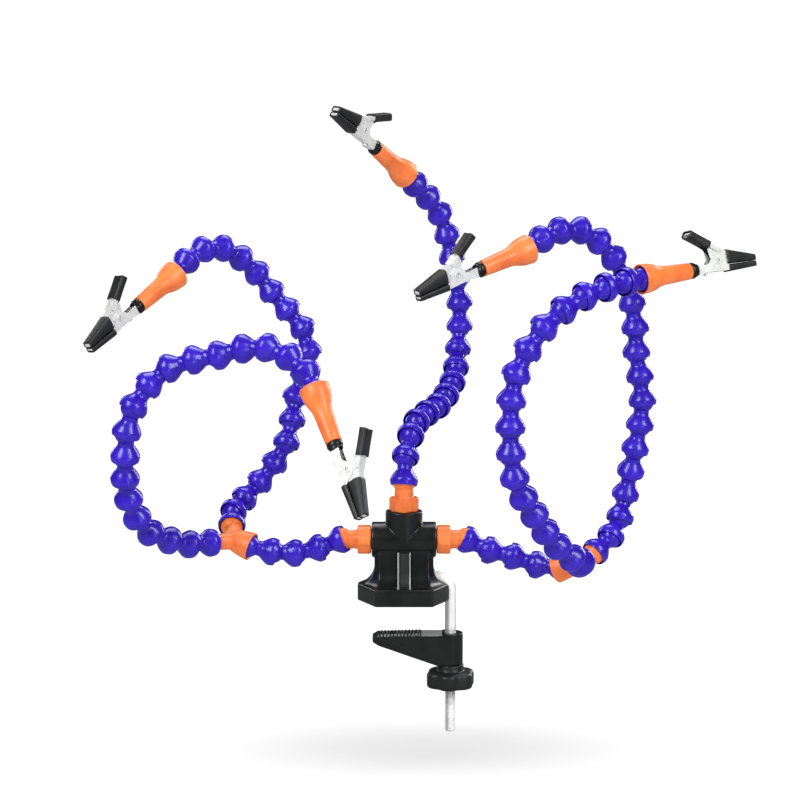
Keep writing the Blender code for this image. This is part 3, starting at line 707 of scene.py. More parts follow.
place("clamp_body_moulding",
      to_mesh(moulded(clamp_body(), voxel=0.44, smoothing=3), "clamp_body_moulding", BLACK, None),
      IDENTITY, "clamp", "black_clamp_plastic", "clamp_body")

# Side outlines of the front ribs and the ramp between them: distance out to the front, z,
# and the radius of the corner.
RIB_LINE = [(7.0, 30.6), (10.9, 30.6, 0.8), (12.6, 24.0, 6.0), (13.9, 17.5, 5.0),
            (16.9, 12.9, 4.0), (20.5, 10.1, 0.5), (20.5, 8.5), (7.0, 8.5)]
RAMP_LINE = [(7.0, 29.6), (9.7, 29.6, 0.5), (11.0, 24.0, 6.0), (12.4, 17.8, 5.0),
             (15.3, 12.6, 3.0), (18.9, 10.2, 0.5), (18.9, 8.5), (7.0, 8.5)]


# the ribs' front faces, which take the painted highlight
def rib_painted_highlight(at, normal):
    return normal.y < -0.25 and abs(normal.x) < 0.5 and at.z > 9.9


# tag, x, half width, outline, material, which faces take the painted highlight
for tag, x, half, outline, mat, where in (
        ("left", -3.45, 0.5, RIB_LINE, BLACK, rib_painted_highlight),
        ("right", 3.55, 0.42, RIB_LINE, BLACK, rib_painted_highlight),
        ("ramp", 0.05, 3.4, RAMP_LINE, RAMP_PAINTED_LIGHT, None)):
    name = "clamp_front_rib_" + tag
    shell = prism(fillets(outline, 0.1, 5, True), half,
                  Matrix.Translation((x, 0, 0)) @ Matrix.Rotation(radians(-90), 4, "Z"))
    place(name, to_mesh(shell, name, mat, 30, RIB_PAINTED_HIGHLIGHT, where), IDENTITY,
          "clamp", "black_clamp_plastic", bevel=0.18)


def thread_radius(z, end):
    """Radius by angle in the rolled thread, 1 mm pitch, fading at both ends."""
    run_in = ROD_THREAD_Z - z

    def radius(angle):
        phase = (-z - angle / (2 * pi)) % 1.0
        crest = min(1.0, max(0.0, (0.5 - abs(phase - 0.5)) * 2.6 - 0.15))
        grow = min(1.0, run_in / 1.5) * min(1.0, (z - end) / 1.6)
        return 2.94 + 0.32 * crest * grow + (1 - min(1.0, run_in / 0.8)) * 0.2
    return radius


def rod():
    poses = poses_along(rod_path(-12.4), (0, 1, 0))
    rings = [circle(pose, 0, ROD_R - (0 if i else 0.5), 48) for i, pose in enumerate(poses)]
    end = ROD_END_Z + 1.5
    # z and radius down the straight part
    stations = [(z, ROD_R) for z in (4.0, -4.0, -12.0, ROD_THREAD_Z + 0.6)]
    stations.append((ROD_THREAD_Z + 0.1, ROD_R - 0.15))
    z = ROD_THREAD_Z - 0.3
    while z > end + 0.9:
        stations.append((z, thread_radius(z, end)))
        z -= 0.125
    stations += [(end + 0.5, 2.7), (end, 2.1)]
    down = frame((ROD_X, 0, 0), (0, 0, -1), x_axis(poses[-1]))
    return ring_loft(rings + [circle(down, -z, radius, 48) for z, radius in stations])


place("clamp_rod_bent",
      to_mesh(rod(), "clamp_rod_bent", STEEL, 50, THREAD,
              lambda at, normal: at.z < ROD_THREAD_Z - 0.2),
      IDENTITY, "clamp", "steel_rod", "clamp_rod")

# ---------------------------------------------------------------- lower jaw and knob


def grip_z(x):
    """The toothed pad's surface."""
    return JAW_TOP - PAD_DROP * (PAD_END_X - x) / (PAD_END_X - PAD_TIP_X)


def height_at(line, x):
    for (x0, z0), (x1, z1) in zip(line, line[1:]):
        if x0 <= x <= x1:
            return z0 + (z1 - z0) * (x - x0) / (x1 - x0)


def jaw_block():
    # x and z of the upper and lower sides, from the tip to the rod
    top = [(JAW_TIP_X, -22.7), (PAD_TIP_X, JAW_TOP - PAD_DROP), (PAD_END_X, JAW_TOP),
           (10.2, JAW_TOP - 0.45), (23.4, JAW_TOP - 0.45), (24.0, JAW_TOP), (ROD_X, JAW_TOP)]
    bottom = [(JAW_TIP_X, -25.7), (JAW_TIP_X + 0.7, -26.3), (19.8, JAW_BOTTOM),
              (ROD_X, JAW_BOTTOM)]
    block = bmesh.new()
    columns = []
    for x in sorted({x for x, _ in top + bottom}):
        half = 9.0 - 1.4 * (x - JAW_TIP_X) / (ROD_X - JAW_TIP_X)
        if x < -14.9:
            half = 4.6 + (half - 4.6) * (x - JAW_TIP_X) / 4.3
        upper, lower = height_at(top, x), height_at(bottom, x)
        columns.append([block.verts.new((x, side * half, z)) for side, z in
                        ((-1, upper), (1, upper), (1, lower), (-1, lower))])
    for near, far in zip(columns, columns[1:]):
        for i in range(4):
            j = (i + 1) % 4
            block.faces.new((near[i], near[j], far[j], far[i]))
    block.faces.new(columns[0])
    block.faces.new(list(reversed(columns[-1])))
    bmesh.ops.recalc_face_normals(block, faces=block.faces)
    return block


def lower_jaw():
    boss = turn(fillets([(JAW_BOTTOM, 0), (JAW_BOTTOM, JAW_BOSS_R, 0.6),
                         (JAW_TOP, JAW_BOSS_R, 0.6), (JAW_TOP, 0)]), 72, AT_ROD)
    hole = turn([(JAW_BOTTOM - 5, 3.9), (JAW_TOP + 5, 3.9)], 48, AT_ROD)
    # pyramid grip: V cuts across the pad and along it
    pitch, half, rise, depth = 2.1, 0.95, 0.5, 0.85
    across = []
    for k in range(12):
        x = -14.6 + pitch * k
        z = grip_z(x)
        across.append(prism([(x - half, z + rise), (x, z - depth), (x + half, z + rise)], 10.5))
    along = []
    for k in range(-4, 5):
        y = pitch * k
        along.append(ring_loft([[(x, y - half, grip_z(x) + rise), (x, y, grip_z(x) - depth),
                                 (x, y + half, grip_z(x) + rise)] for x in (-16.0, 9.4)]))
    # long shallow panel on each flank
    panels = [prism([(-6.0, -25.0), (15.0, -25.0), (15.0, -33.5), (-1.0, -28.0)], 0.30,
                    Matrix.Translation((0, side * 8.55, 0))
                    @ Matrix.Rotation(side * radians(1.7), 4, "Z")) for side in (-1, 1)]
    return cut(unite(jaw_block(), boss), joined(across), joined(along), joined(panels), hole)


def jaw_painted_highlight(at, normal):
    """Painted highlight: the floor of the recess by the rod and the teeth towards the front, pale
    where light would catch them.
    """
    recess = 10.5 < at.x < 23.1 and at.z > JAW_TOP - 0.65 and normal.z > 0.7
    teeth = -16.5 < at.x < PAD_END_X and at.y < -3.0 and at.z > grip_z(at.x) - 0.24
    return recess or teeth


place("lower_jaw_moulding",
      to_mesh(moulded(lower_jaw(), voxel=0.29, smoothing=2), "lower_jaw_moulding", BLACK, None,
              JAW_PAINTED_HIGHLIGHT, jaw_painted_highlight),
      IDENTITY, "lower_jaw", "black_clamp_plastic", "lower_jaw")


def lobes(grow):
    """Radius by angle of the knob's six lobes."""
    def radius(angle):
        angle = (angle + radians(8)) % radians(60) - radians(30)
        lobe = cos(angle * 6) * 0.5 + 0.5     # 1 between the notches, 0 in a notch
        return (14.9 + grow) - 1.6 * (1 - lobe) ** 1.7
    return radius


def knob():
    upper, lower = KNOB_COLLAR - 1.1, KNOB_BOTTOM - 0.6     # faces of the lobed wheel
    return turn([
        # collar
        (KNOB_TOP, 7.7), (KNOB_TOP - 0.25, 8.0), (KNOB_TOP - 0.8, 8.1), (upper + 0.6, 8.25),
        (upper + 0.15, 8.6), (upper - 0.1, 9.4),
        # wheel
        (upper - 0.15, lobes(-3.4)), (upper - 0.35, lobes(-1.9)), (upper - 0.85, lobes(-0.85)),
        (upper - 1.6, lobes(-0.2)), (upper - 2.4, lobes(0)), ((upper + lower) / 2, lobes(0)),
        (lower + 2.2, lobes(0)), (lower + 1.1, lobes(-0.15)), (lower + 0.4, lobes(-0.6)),
        (lower + 0.05, lobes(-1.4)), (lower, lobes(-2.6)),
        # underside and bore
        (lower, 8.0), (lower + 0.9, 7.6), (lower + 0.9, 5.9), (lower + 0.2, 5.6),
        (lower + 0.2, 5.05), (lower + 5.2, 5.0), (lower + 5.2, 3.5), (KNOB_TOP, 3.5),
    ], 144, AT_ROD, loop=True)


place("knob_wheel", to_mesh(knob(), "knob_wheel", KNOB_BLACK, 40),
      IDENTITY, "knob", "black_clamp_plastic", "clamp_knob")


def nut():
    """Round insert in the knob, knurled outside and chamfered at the bore."""
    def knurl(angle):
        return 4.86 + 0.1 * cos(24 * angle)
    profile = [(0.35, 3.75), (0.35, 4.6), (0.6, knurl), (4.6, knurl), (4.8, 4.6), (4.8, 3.3),
               (1.0, 3.3)]
    return turn([(KNOB_BOTTOM + rise, radius) for rise, radius in profile], 96, AT_ROD, loop=True)


place("knob_nut_insert", to_mesh(nut(), "knob_nut_insert", ZINC, 30),
      IDENTITY, "knob", "steel_rod")

# ---------------------------------------------------------------- connectors
HEX_FLAT = HEX_AF / 2
HEX_CORNER = HEX_FLAT / cos(pi / 6)


def hexagon(angle):
    """Radius of a hexagon with rounded corners."""
    turned = (angle + pi / 6) % (pi / 3) - pi / 6
    return min(HEX_FLAT / cos(turned), HEX_CORNER - 0.558 + 0.15 * cos(6 * turned))


def chamfer_hex(cone):
    """The hexagon where a cone of this radius cuts it."""
    return lambda angle: min(hexagon(angle), cone)


def sphere_arc(centre, radius, start, end, steps):
    """Profile points on a sphere; angles in degrees from the pole ahead."""
    out = []
    for k in range(steps + 1):
        angle = radians(start + (end - start) * k / steps)
        out.append((centre + radius * cos(angle), radius * sin(angle)))
    return out


MOUTH_ANGLE = degrees(asin(4.3 / BALL_R))           # where the ball is cut off at its bore
MOUTH_OUT = BALL_R * cos(radians(MOUTH_ANGLE))      # that cut, from the ball's centre
# from the bore over the inside of a socket; a joint's centre is at 0
SOCKET = [(6.6, BORE_R)] + sphere_arc(0, SOCKET_R, degrees(asin(BORE_R / SOCKET_R)), 94, 12)[1:]


def ball_end(centre, neck):
    """From the neck over the ball to the mouth of the bore."""
    back = 180 - degrees(asin(neck / BALL_R))
    end = centre + MOUTH_OUT
    return sphere_arc(centre, BALL_R, back, MOUTH_ANGLE, 16) + [
        (end + 0.25, 3.9), (end + 0.2, 3.5), (end - 0.3, BORE_R)]


def connector():
    return turn([
        (-6.0, BORE_R), (-6.0, 5.5), (-5.5, 5.9), (-0.2, 5.9), (0.25, 6.3),
        (0.3, HEX_FLAT - 0.35), (0.45, chamfer_hex(HEX_FLAT + 0.05)),
        (1.1, chamfer_hex(HEX_CORNER - 0.55)), (1.7, hexagon), (4.4, hexagon), (7.3, hexagon),
        (7.9, chamfer_hex(HEX_CORNER - 0.55)), (8.45, chamfer_hex(HEX_FLAT + 0.05)),
        (8.6, HEX_FLAT - 0.35), (8.65, 6.5), (8.8, 6.0), (9.3, 5.75), (10.4, 5.62),
        (12.2, 5.56), (13.4, 5.54),
    ] + ball_end(BALL_OUT, 5.5), 96, loop=True)


CONNECTOR = to_mesh(connector(), "hex_connector", ORANGE, 28)
for side, port in PORTS.items():
    place("hex_connector_" + side, CONNECTOR, frame(*port), "clamp", "orange_plastic",
          "connector_" + side)

# ---------------------------------------------------------------- hose segments


def segment():
    """Socket, flared skirt, neck and ball."""
    return turn(SOCKET + [
        (-1.3, 7.34), (-1.9, 7.46), (-2.28, 7.58), (-2.44, 7.74), (-2.38, 7.92), (-2.12, 8.06),
        (-1.6, 8.20), (-0.9, 8.34), (-0.1, 8.46), (0.7, 8.51), (1.4, 8.42), (2.1, 8.16),
        (2.8, 7.76), (3.6, 7.32), (4.4, 6.80), (5.1, 6.30), (5.7, 5.84), (6.25, 5.42),
        (6.75, 5.06), (7.25, 4.79), (7.8, 4.64), (8.6, NECK_R),
    ] + ball_end(PITCH, NECK_R), 60, loop=True)


SEGMENT = to_mesh(segment(), "hose_segment", BLUE, 42)
GOLDEN = radians(137.5)     # each segment is spun on from the last


def hose(label, joints, runs):
    """One piece between each two joints; runs names the rigid run each belongs to."""
    hint = Vector((0.31, 0.52, 0.79))
    last = None
    for k, run in enumerate(runs):
        along = unit(joints[k + 1] - joints[k])
        if last is not None:
            hint = last.rotation_difference(along) @ hint
        last = along
        pose = frame(joints[k], along, hint)
        hint = x_axis(pose)
        place("hose_%s_%02d" % (label, k + 1), SEGMENT,
              pose @ Matrix.Rotation(GOLDEN * k, 4, "Z"), run, "blue_plastic", run)


for side, joints in STEMS.items():
    hose("stem_" + side, joints, ["stem_" + side] * STEM_SEGMENTS)
for tag, arm in ARMS.items():
    hose(tag, CHAINS[tag],
         ["arm_%s_%d" % (tag, i // arm["section"] + 1) for i in range(SEGMENTS)])

# ---------------------------------------------------------------- Y splitters


def fork(pose, outlets):
    """A socket body with a ball-ended branch to each outlet."""
    body = turn([(-2.3, 0), (-2.42, 8.0), (-2.3, 8.5), (-2.0, 8.6), (-1.4, 8.6), (-1.0, 8.46),
                 (0.4, 8.4), (2.2, 8.15), (3.6, 7.9), (6.5, 7.45), (8.6, 6.95), (10.2, 6.2),
                 (11.4, 5.0), (12.0, 3.4), (12.1, 0)], 64, pose)
    for outlet in outlets:
        start = pose @ Vector((0, 0, 8.6))
        branch = outlet - start
        ball = branch.length
        end = ball + MOUTH_OUT
        along = frame(start, branch, pose.to_3x3() @ Vector((0, 0, 1)))
        neck = [(2.0, 0), (2.0, 5.0), (ball - 9.0, 5.05), (ball - 6.6, 4.95), (ball - 5.3, 4.75)]
        arc = sphere_arc(ball, BALL_R, 137, MOUTH_ANGLE, 14)
        body = unite(body, turn(neck + arc + [(end + 0.2, 3.8), (end + 0.2, 0)], 56, along))
        body = cut(body, turn([(ball + 1.0, BORE_R), (end + 3.0, BORE_R)], 36, along))
    return cut(body, turn([(SOCKET_R, 0)] + sphere_arc(0, SOCKET_R, 12, 90, 12)
                          + [(-1.3, 7.36), (-2.0, 7.65), (-3.5, 8.2), (-3.5, 0)], 56, pose))


for side, (pose, outlets) in FORKS.items():
    shell = moulded(fork(pose, outlets), voxel=0.40, smoothing=4)
    bmesh.ops.transform(shell, matrix=pose.inverted(), verts=shell.verts)
    place("y_fork_" + side, to_mesh(shell, "y_fork_" + side, ORANGE, None), pose,
          "y_splitter_" + side, "orange_plastic", "y_splitter_" + side)

# ---------------------------------------------------------------- nozzles


def nozzle():
    return turn(SOCKET + [
        # lip
        (-1.3, 7.36), (-1.9, 7.62), (-2.25, 7.86), (-2.42, 8.12), (-2.34, 8.6), (-2.05, 8.7),
        (-1.45, 8.72), (-1.05, 8.56),
        # taper
        (-0.6, 8.56), (0.6, 8.52), (2.0, 8.4), (3.4, 8.2), (4.8, 7.9), (6.2, 7.5), (7.6, 7.0),
        (9.0, 6.48), (10.4, 6.05), (11.8, 5.76), (13.4, 5.55), (15.5, 5.42), (20.0, 5.24),
        (26.0, 5.0), (31.2, 4.8),
        # tip and bore
        (31.75, 4.68), (NOZZLE_L, 4.4), (NOZZLE_L, 3.5), (31.7, BORE_R), (20.0, BORE_R),
    ], 72, loop=True)


# ---------------------------------------------------------------- clips
# X runs from the nozzle's tip to the ends of the prongs; Z is the handle's side.


def along_x(profile, count):
    return turn(profile, count, Matrix.Rotation(radians(90), 4, "Y"))


def about_pin(profile, count):
    return turn(profile, count, Matrix.Translation((PIVOT_X, 0, PIVOT_Z))
                @ Matrix.Rotation(radians(-90), 4, "X"))


def plug():
    body = along_x([(-8.0, 0), (-8.0, 2.1), (-7.4, 2.7), (0.35, 2.72), (0.4, 4.1), (0.75, 4.55),
                    (1.3, 4.66), (2.2, 4.66), (2.7, 4.5), (2.95, 4.12), (3.15, 3.95),
                    (4.4, 3.9), (4.65, 3.75), (4.75, 3.45), (4.6, 3.1), (4.2, 2.7), (3.7, 2.6),
                    (3.7, 0)], 56)
    # the cup is open on the handle side
    return cut(body, prism([(3.9, 1.2), (7.4, 1.2), (7.4, 5.0), (3.9, 5.0)], 2.0))


def fixed_jaw():
    """Folded strip: tail, two ears, prong with teeth; open towards the handle."""
    ears = cut(
        prism(fillets([(9.4, -2.3), (24.5, -3.0), (27.2, -2.95), (27.2, -0.5, 1.0),
                       (24.6, 1.4, 2.5), (22.6, 5.2, 2.2), (19.0, 7.0, 3.2), (15.2, 5.4, 2.2),
                       (12.6, 2.4, 1.5), (9.4, 1.9, 0.6)], 0.2, 5, True), 3.0),
        prism([(8.6, -1.75), (24.5, -2.45), (28.6, -2.4), (28.6, 9.0), (8.6, 9.0)], 2.5))
    tip = 45.75
    teeth = [(tip, -0.35)]
    for k in range(6):
        x = tip - TOOTH * k
        teeth += [(x - TOOTH / 2, -0.95), (x - TOOTH, -0.35)]
    prong = cut(
        prism([(26.0, -2.95), (45.2, -2.45), (tip, -1.9)] + teeth + [(26.0, -0.45)], 2.3),
        prism([(24.0, -2.4), (45.1, -1.9), (45.1, 2.0), (24.0, 2.0)], 1.8))
    tail = cut(
        along_x(fillets([(3.9, 0), (3.9, 2.0, 0.3), (8.2, 2.05, 0.5), (10.2, 2.35, 0.5),
                         (10.2, 0)]), 40),
        along_x([(3.0, 1.5), (10.8, 1.5)], 32),
        prism([(3.0, 0.6), (11.0, 0.6), (11.0, 4.0), (3.0, 4.0)], 0.9))
    # wider part between the tail and the ears
    wide = cut(
        prism(fillets([(5.0, -3.1), (7.2, -3.1, 0.3), (10.6, -2.35), (10.6, 2.1), (5.0, 2.6)],
                      0.1, 4, True), 2.95),
        prism([(4.0, -2.6), (7.2, -2.6), (11.6, -1.8), (11.6, 5.0), (4.0, 5.0)], 2.45))
    return unite(ears, prong, tail, wide)


def handle_bar(start, end, low, high, half):
    """A bar from start to end, reaching from low to high out of the handle's back."""
    return prism([(x + out * 0.538, z + out * 0.843) for (x, z), out in
                  ((start, low), (start, high), (end, high), (end, low))], half)


def moving_jaw():
    """Folded strip: prong with teeth, two cheeks round the pin, wider handle."""
    cheeks = cut(
        prism(fillets([(27.4, 7.75), (21.6, 10.2, 2.0), (16.0, 11.9, 1.0), (13.6, 11.4, 1.0),
                       (14.4, 6.2, 1.8), (15.6, 1.4, 1.8), (18.6, -0.7, 2.6),
                       (22.6, -0.35, 1.4), (25.2, 1.35, 1.0), (27.4, 1.35)],
                      0.15, 5, True), 2.35),
        prism([(28.6, 6.9), (21.4, 9.7), (15.9, 11.3), (10.0, 13.0), (10.0, -3.0),
               (28.6, -3.0)], 1.88))
    tip = 45.95
    teeth = []
    for k in range(6):
        x = tip - TOOTH * k
        teeth += [(x, 0.55), (x - TOOTH / 2, 1.2)]
    prong = cut(
        prism([(26.2, 8.3), (45.4, 3.1), (tip, 2.6)] + teeth + [(40.0, 1.3), (26.2, 1.35)], 2.3),
        prism([(24.6, 8.05), (45.2, 2.6), (45.2, -1.0), (24.6, -1.0)], 1.8))
    handle = cut(handle_bar((20.8, 9.55), (3.1, 20.72), -1.25, 1.0, 3.3),
                 handle_bar((23.0, 8.0), (2.0, 21.4), -4.0, 0.5, 2.8))
    rib = handle_bar((18.2, 11.2), (5.0, 19.5), 0.6, 1.35, 1.1)
    return cut(unite(cheeks, prong, unite(handle, rib)), about_pin([(-4, 1.75), (4, 1.75)], 32))


def pin():
    head = [(3.02, 1.55), (3.02, 1.80), (3.14, 1.84), (3.36, 1.80), (3.50, 1.62), (3.52, 1.32),
            (3.44, 1.15), (3.1, 1.06), (2.75, 1.02), (2.7, 0)]
    other_head = [(-out, radius) for out, radius in reversed(head)]
    return about_pin(other_head + [(-2.9, 1.5), (2.9, 1.5)] + head, 48)


def pin_painted_shade(at, normal):
    """Painted shade: the dimple in each head, and the gap behind it, in black plastic."""
    dimple = hypot(at.x - PIVOT_X, at.z - PIVOT_Z) < 1.12
    return abs(at.y) < 3.38 and (dimple or 3.0 < abs(at.y) < 3.2)


def rounded_box(centre_z, half_y, half_z, power, ridge, count):
    """A ring in Y and Z: a squarish oval, with a slight ridge along each flank."""
    out = []
    for i in range(count):
        angle = 2 * pi * i / count
        across, up = cos(angle), sin(angle)
        y = copysign(abs(across) ** (2 / power), across) * half_y
        z = copysign(abs(up) ** (2 / power), up) * half_z
        flank = exp(-((z / half_z - 0.05) / 0.10) ** 2) * (1 if abs(across) > 0.5 else 0)
        out.append((y + copysign(ridge * flank, across), centre_z + z))
    return out


def cover(under, over, start, end, bulge):
    """A sleeve over a prong; under and over are its sides' z at start and at end."""
    steps, wall, length = 22, 0.75, end - start

    def ring(x, inset, share):
        low = under[0] + (under[1] - under[0]) * share
        high = over[0] + (over[1] - over[0]) * share
        half_y = 3.9 + (3.15 - 3.9) * share
        out = []
        for y, z in rounded_box((low + high) / 2, half_y - inset, (high - low) / 2 - inset,
                                power=5.4, ridge=0 if inset else 0.22, count=72):
            # the open end stands out in a curve towards the pin
            rise = (z - low) / (high - low)
            push = bulge * (1 - (2 * rise - 1) ** 2) * (1 - share) ** 6
            out.append(Vector((x - push, y, z)))
        return out

    def along(inset, last):
        return [ring(start + length * (k / steps), inset, k / steps) for k in range(1, last)]
    outer = [ring(start, 0.28, 0.0), ring(start + 0.3, 0.0, 0.3 / length)]
    outer += along(0.0, steps + 1) + [ring(end + 0.15, 0.25, 1.0)]
    inner = [ring(start, wall - 0.15, 0.0)] + along(wall, steps)
    inner.append(ring(end + 0.15, wall - 0.1, 1.0))
    return ring_loft(outer + list(reversed(inner)), loop=True)


def sleeve():
    """A flat vinyl tube on the handle, its ends cut slightly curved."""
    start, end = Vector((15.2, 0, 13.0)), Vector((2.2, 0, 21.3))
    along = (end - start).normalized()
    length = (end - start).length

    def ring(distance, half_y, half_z, dip):
        out = []
        for y, z in rounded_box(0, half_y, half_z, power=5.0, ridge=0.0, count=64):
            push = dip * (1 - (y / 4.2) ** 2)
            out.append(start + along * (distance + push) + Vector((0, y, 0)) + BACK * z)
        return out
    # distance along the handle, half width, half thickness, curve of the cut
    rows = [(0.0, 3.75, 2.2, 0.5), (0.0, 3.98, 2.42, 0.5), (0.35, 4.1, 2.5, 0.45)]
    for k in range(1, 14):
        share = k / 14
        pinch = 0.06 * sin(share * pi)
        rows.append((0.35 + (length - 0.7) * share, 4.1 - pinch, 2.5 - pinch,
                     0.45 - 0.9 * share))
    rows += [(length - 0.35, 4.1, 2.5, -0.45), (length, 3.98, 2.42, -0.5),
             (length, 3.72, 2.18, -0.5), (length - 0.9, 3.5, 2.0, -0.5),
             (length - 1.1, 3.36, 1.4, -0.5), (length - 1.3, 3.36, 1.36, -0.4),
             (2.0, 3.4, 1.36, 0.3), (0.9, 3.4, 1.6, 0.5)]
    return ring_loft([ring(*row) for row in rows], loop=True)


def spring():
    """Double torsion spring: a leg and a coil on each side, bridged under the handle."""
    points = [Vector(point) for point in
              ((6.6, 1.5, 1.9), (9.5, 1.6, 1.8), (12.8, 1.62, 1.9), (15.2, 1.66, 1.2))]
    coil_r = 2.25
    for k in range(41):
        angle = radians(215) + (4 * pi + radians(70)) * k / 40
        points.append(Vector((PIVOT_X + coil_r * cos(angle), 1.68 - 1.12 * k / 40,
                              PIVOT_Z + coil_r * sin(angle))))
    last = points[-1]
    tip = Vector((last.x - 3.4, 0.62, last.z + 5.4))
    points += [last.lerp(tip, 0.35) + Vector((-0.5, 0, 0)), tip, Vector((9.7, 0.75, 14.4)),
               Vector((9.1, 0.45, 14.8)), Vector((9.0, 0.0, 14.9))]
    path = points + [Vector((p.x, -p.y, p.z)) for p in reversed(points[:-1])]
    fine = []
    for i in range(len(path) - 1):
        before, here, after = path[max(i - 1, 0)], path[i], path[i + 1]
        beyond = path[min(i + 2, len(path) - 1)]
        for k in range(3):
            f = k / 3
            fine.append(0.5 * ((2 * here) + (after - before) * f
                               + (2 * before - 5 * here + 4 * after - beyond) * f * f
                               + (3 * here - before - 3 * after + beyond) * f ** 3))
    fine.append(path[-1])
    return sweep(fine, 0.52, 12, (0, 0, 1))


def screw():
    """Slotted screw with its washer, under the tail."""
    pose = Matrix.Translation((11.0, 0, -2.0)) @ Matrix.Rotation(radians(180), 4, "X")
    body = turn([(-0.6, 0), (-0.6, 0.8), (0.25, 0.85), (0.3, 1.75), (0.6, 1.8), (0.75, 1.7),
                 (0.8, 1.45), (1.8, 1.42), (2.05, 1.2), (2.15, 0.8), (2.15, 0)], 40, pose)
    return cut(body, prism([(9.0, -4.4), (13.0, -4.4), (13.0, -3.65), (9.0, -3.65)], 0.22))


def screw_painted_shade(at, normal):
    """Painted shade in the gap above the washer's edge and in the slot; the head's end face is
    dark as well.
    """
    slot = at.z < -3.5 and abs(normal.z) < 0.5 and abs(at.y) < 0.3
    return -2.95 < at.z < -2.72 or slot or at.z < -4.1


NOZZLE = to_mesh(nozzle(), "nozzle_taper", ORANGE, 40)
PLUG = to_mesh(plug(), "swivel_plug", PLUG_BLACK, 35)
FIXED = to_mesh(fixed_jaw(), "clip_fixed_strip", NICKEL, 30)
MOVING = to_mesh(moving_jaw(), "clip_moving_strip", NICKEL, 30)
# the pin's dimple and the gaps by its heads take black plastic as painted shade
PIN = to_mesh(pin(), "clip_pin", NICKEL, 35, PLUG_BLACK, pin_painted_shade)
LOW_COVER = to_mesh(cover(under=(-3.9, -3.3), over=(0.35, -0.05), start=26.4, end=45.9,
                          bulge=0.3), "clip_lower_cover", VINYL, 45)
HIGH_COVER = to_mesh(cover(under=(0.7, 0.1), over=(9.2, 3.8), start=26.3, end=46.1,
                           bulge=0.6), "clip_upper_cover", VINYL, 45)
SLEEVE = to_mesh(sleeve(), "clip_handle_vinyl", VINYL, 45)
SPRING = to_mesh(spring(), "clip_spring", SPRING_STEEL, None)
# the screw's gap and slot take dark steel as painted shade
SCREW = to_mesh(screw(), "clip_terminal_screw", NICKEL, 32, SPRING_STEEL, screw_painted_shade)

# name, mesh, body, slot, CAD piece it stands for, bevel in mm, bevel segments
CLIP_PARTS = [
    ("swivel_plug_", PLUG, "clip_", "black_plug_plastic", "clip_plug_", 0.08, 2),
    ("clip_tail_strip_", FIXED, "clip_", "nickel_clip_steel", "clip_fixed_jaw_", 0.07, 1),
    ("clip_pin_", PIN, "clip_", "nickel_clip_steel", None, 0, 0),
    ("clip_screw_", SCREW, "clip_", "nickel_clip_steel", None, 0, 0),
    ("clip_lower_cover_", LOW_COVER, "clip_", "black_sleeve_vinyl", "clip_fixed_cover_", 0, 0),
    ("clip_lever_strip_", MOVING, "clip_lever_", "nickel_clip_steel", "clip_moving_jaw_",
     0.07, 1),
    ("clip_upper_cover_", HIGH_COVER, "clip_lever_", "black_sleeve_vinyl",
     "clip_moving_cover_", 0, 0),
    ("clip_handle_vinyl_", SLEEVE, "clip_lever_", "black_sleeve_vinyl",
     "clip_handle_sleeve_", 0, 0),
]

for tag, arm in ARMS.items():
    end = CHAINS[tag][-1]
    aim = unit(arm["aim"])
    place("nozzle_taper_" + tag, NOZZLE, frame(end, aim, (0, 0, 1)), "nozzle_" + tag,
          "orange_plastic", "nozzle_" + tag)
    pose = clip_frame(end + NOZZLE_L * aim, aim, arm["handle_up"])
    for name, data, body, slot, stands_for, bevel, segments in CLIP_PARTS:
        place(name + tag, data, pose, body + tag, slot, stands_for and stands_for + tag,
              bevel, segments)
    # the spring is set at the clip's pose with its transform baked in, riding with no body
    item = stand("clip_spring_" + tag, SPRING.copy(), pose)
    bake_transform(item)

# ---------------------------------------------------------------- floor, light, camera; metres


def floor_material():
    """Shown white by a glow only the camera sees, with a painted soft oval shadow under the tool;
    dim in reflections.
    """
    near, far = 0.71, 1.02                          # brightness in the painted shadow and beyond it
    centre_x, centre_y, radius_x, radius_y = 0.0156, -0.002, 0.215, 0.100
    mat = bpy.data.materials.new("floor_white_painted_shadow")
    shader = Shader(mat)
    coord = shader.coord()
    sheet = shader.ramp(shader.noise(coord, scale=3.0, detail=2.0), (0.3, 0.7),
                        [(0.73, 0.73, 0.73), (0.75, 0.75, 0.75)])
    rays = shader.add("LightPath")
    seen = rays["Is Camera Ray"]
    dim = shader.math("ADD", shader.math("MULTIPLY", rays["Is Glossy Ray"], 0.74),
                      shader.math("MULTIPLY", seen, 0.90))
    # the painted shadow: an oval in which the camera-only glow is dimmed
    painted_shadow_pool = shader.add("Mapping", {
        "Location": (-centre_x / radius_x, -centre_y / radius_y, 0),
        "Scale": (1 / radius_x, 1 / radius_y, 1), "Vector": coord})["Vector"]
    distance = shader.add("VectorMath", {0: painted_shadow_pool}, operation="LENGTH")["Value"]
    painted_shadow_glow = shader.add("MapRange", {"Value": distance, "From Min": 0.02, "From Max": 1.0,
                                   "To Min": near, "To Max": far},
                      interpolation_type="SMOOTHSTEP")["Result"]
    shader.fill(shader.nodes["Principled BSDF"], {
        "Base Color": shader.mix(dim, sheet, (0.0, 0.0, 0.0, 1)),
        "Roughness": 0.9,
        "Specular IOR Level": 0.0,
        "Emission Color": (1, 1, 1, 1),
        "Emission Strength": shader.math("MULTIPLY", seen, painted_shadow_glow),
    })
    return mat


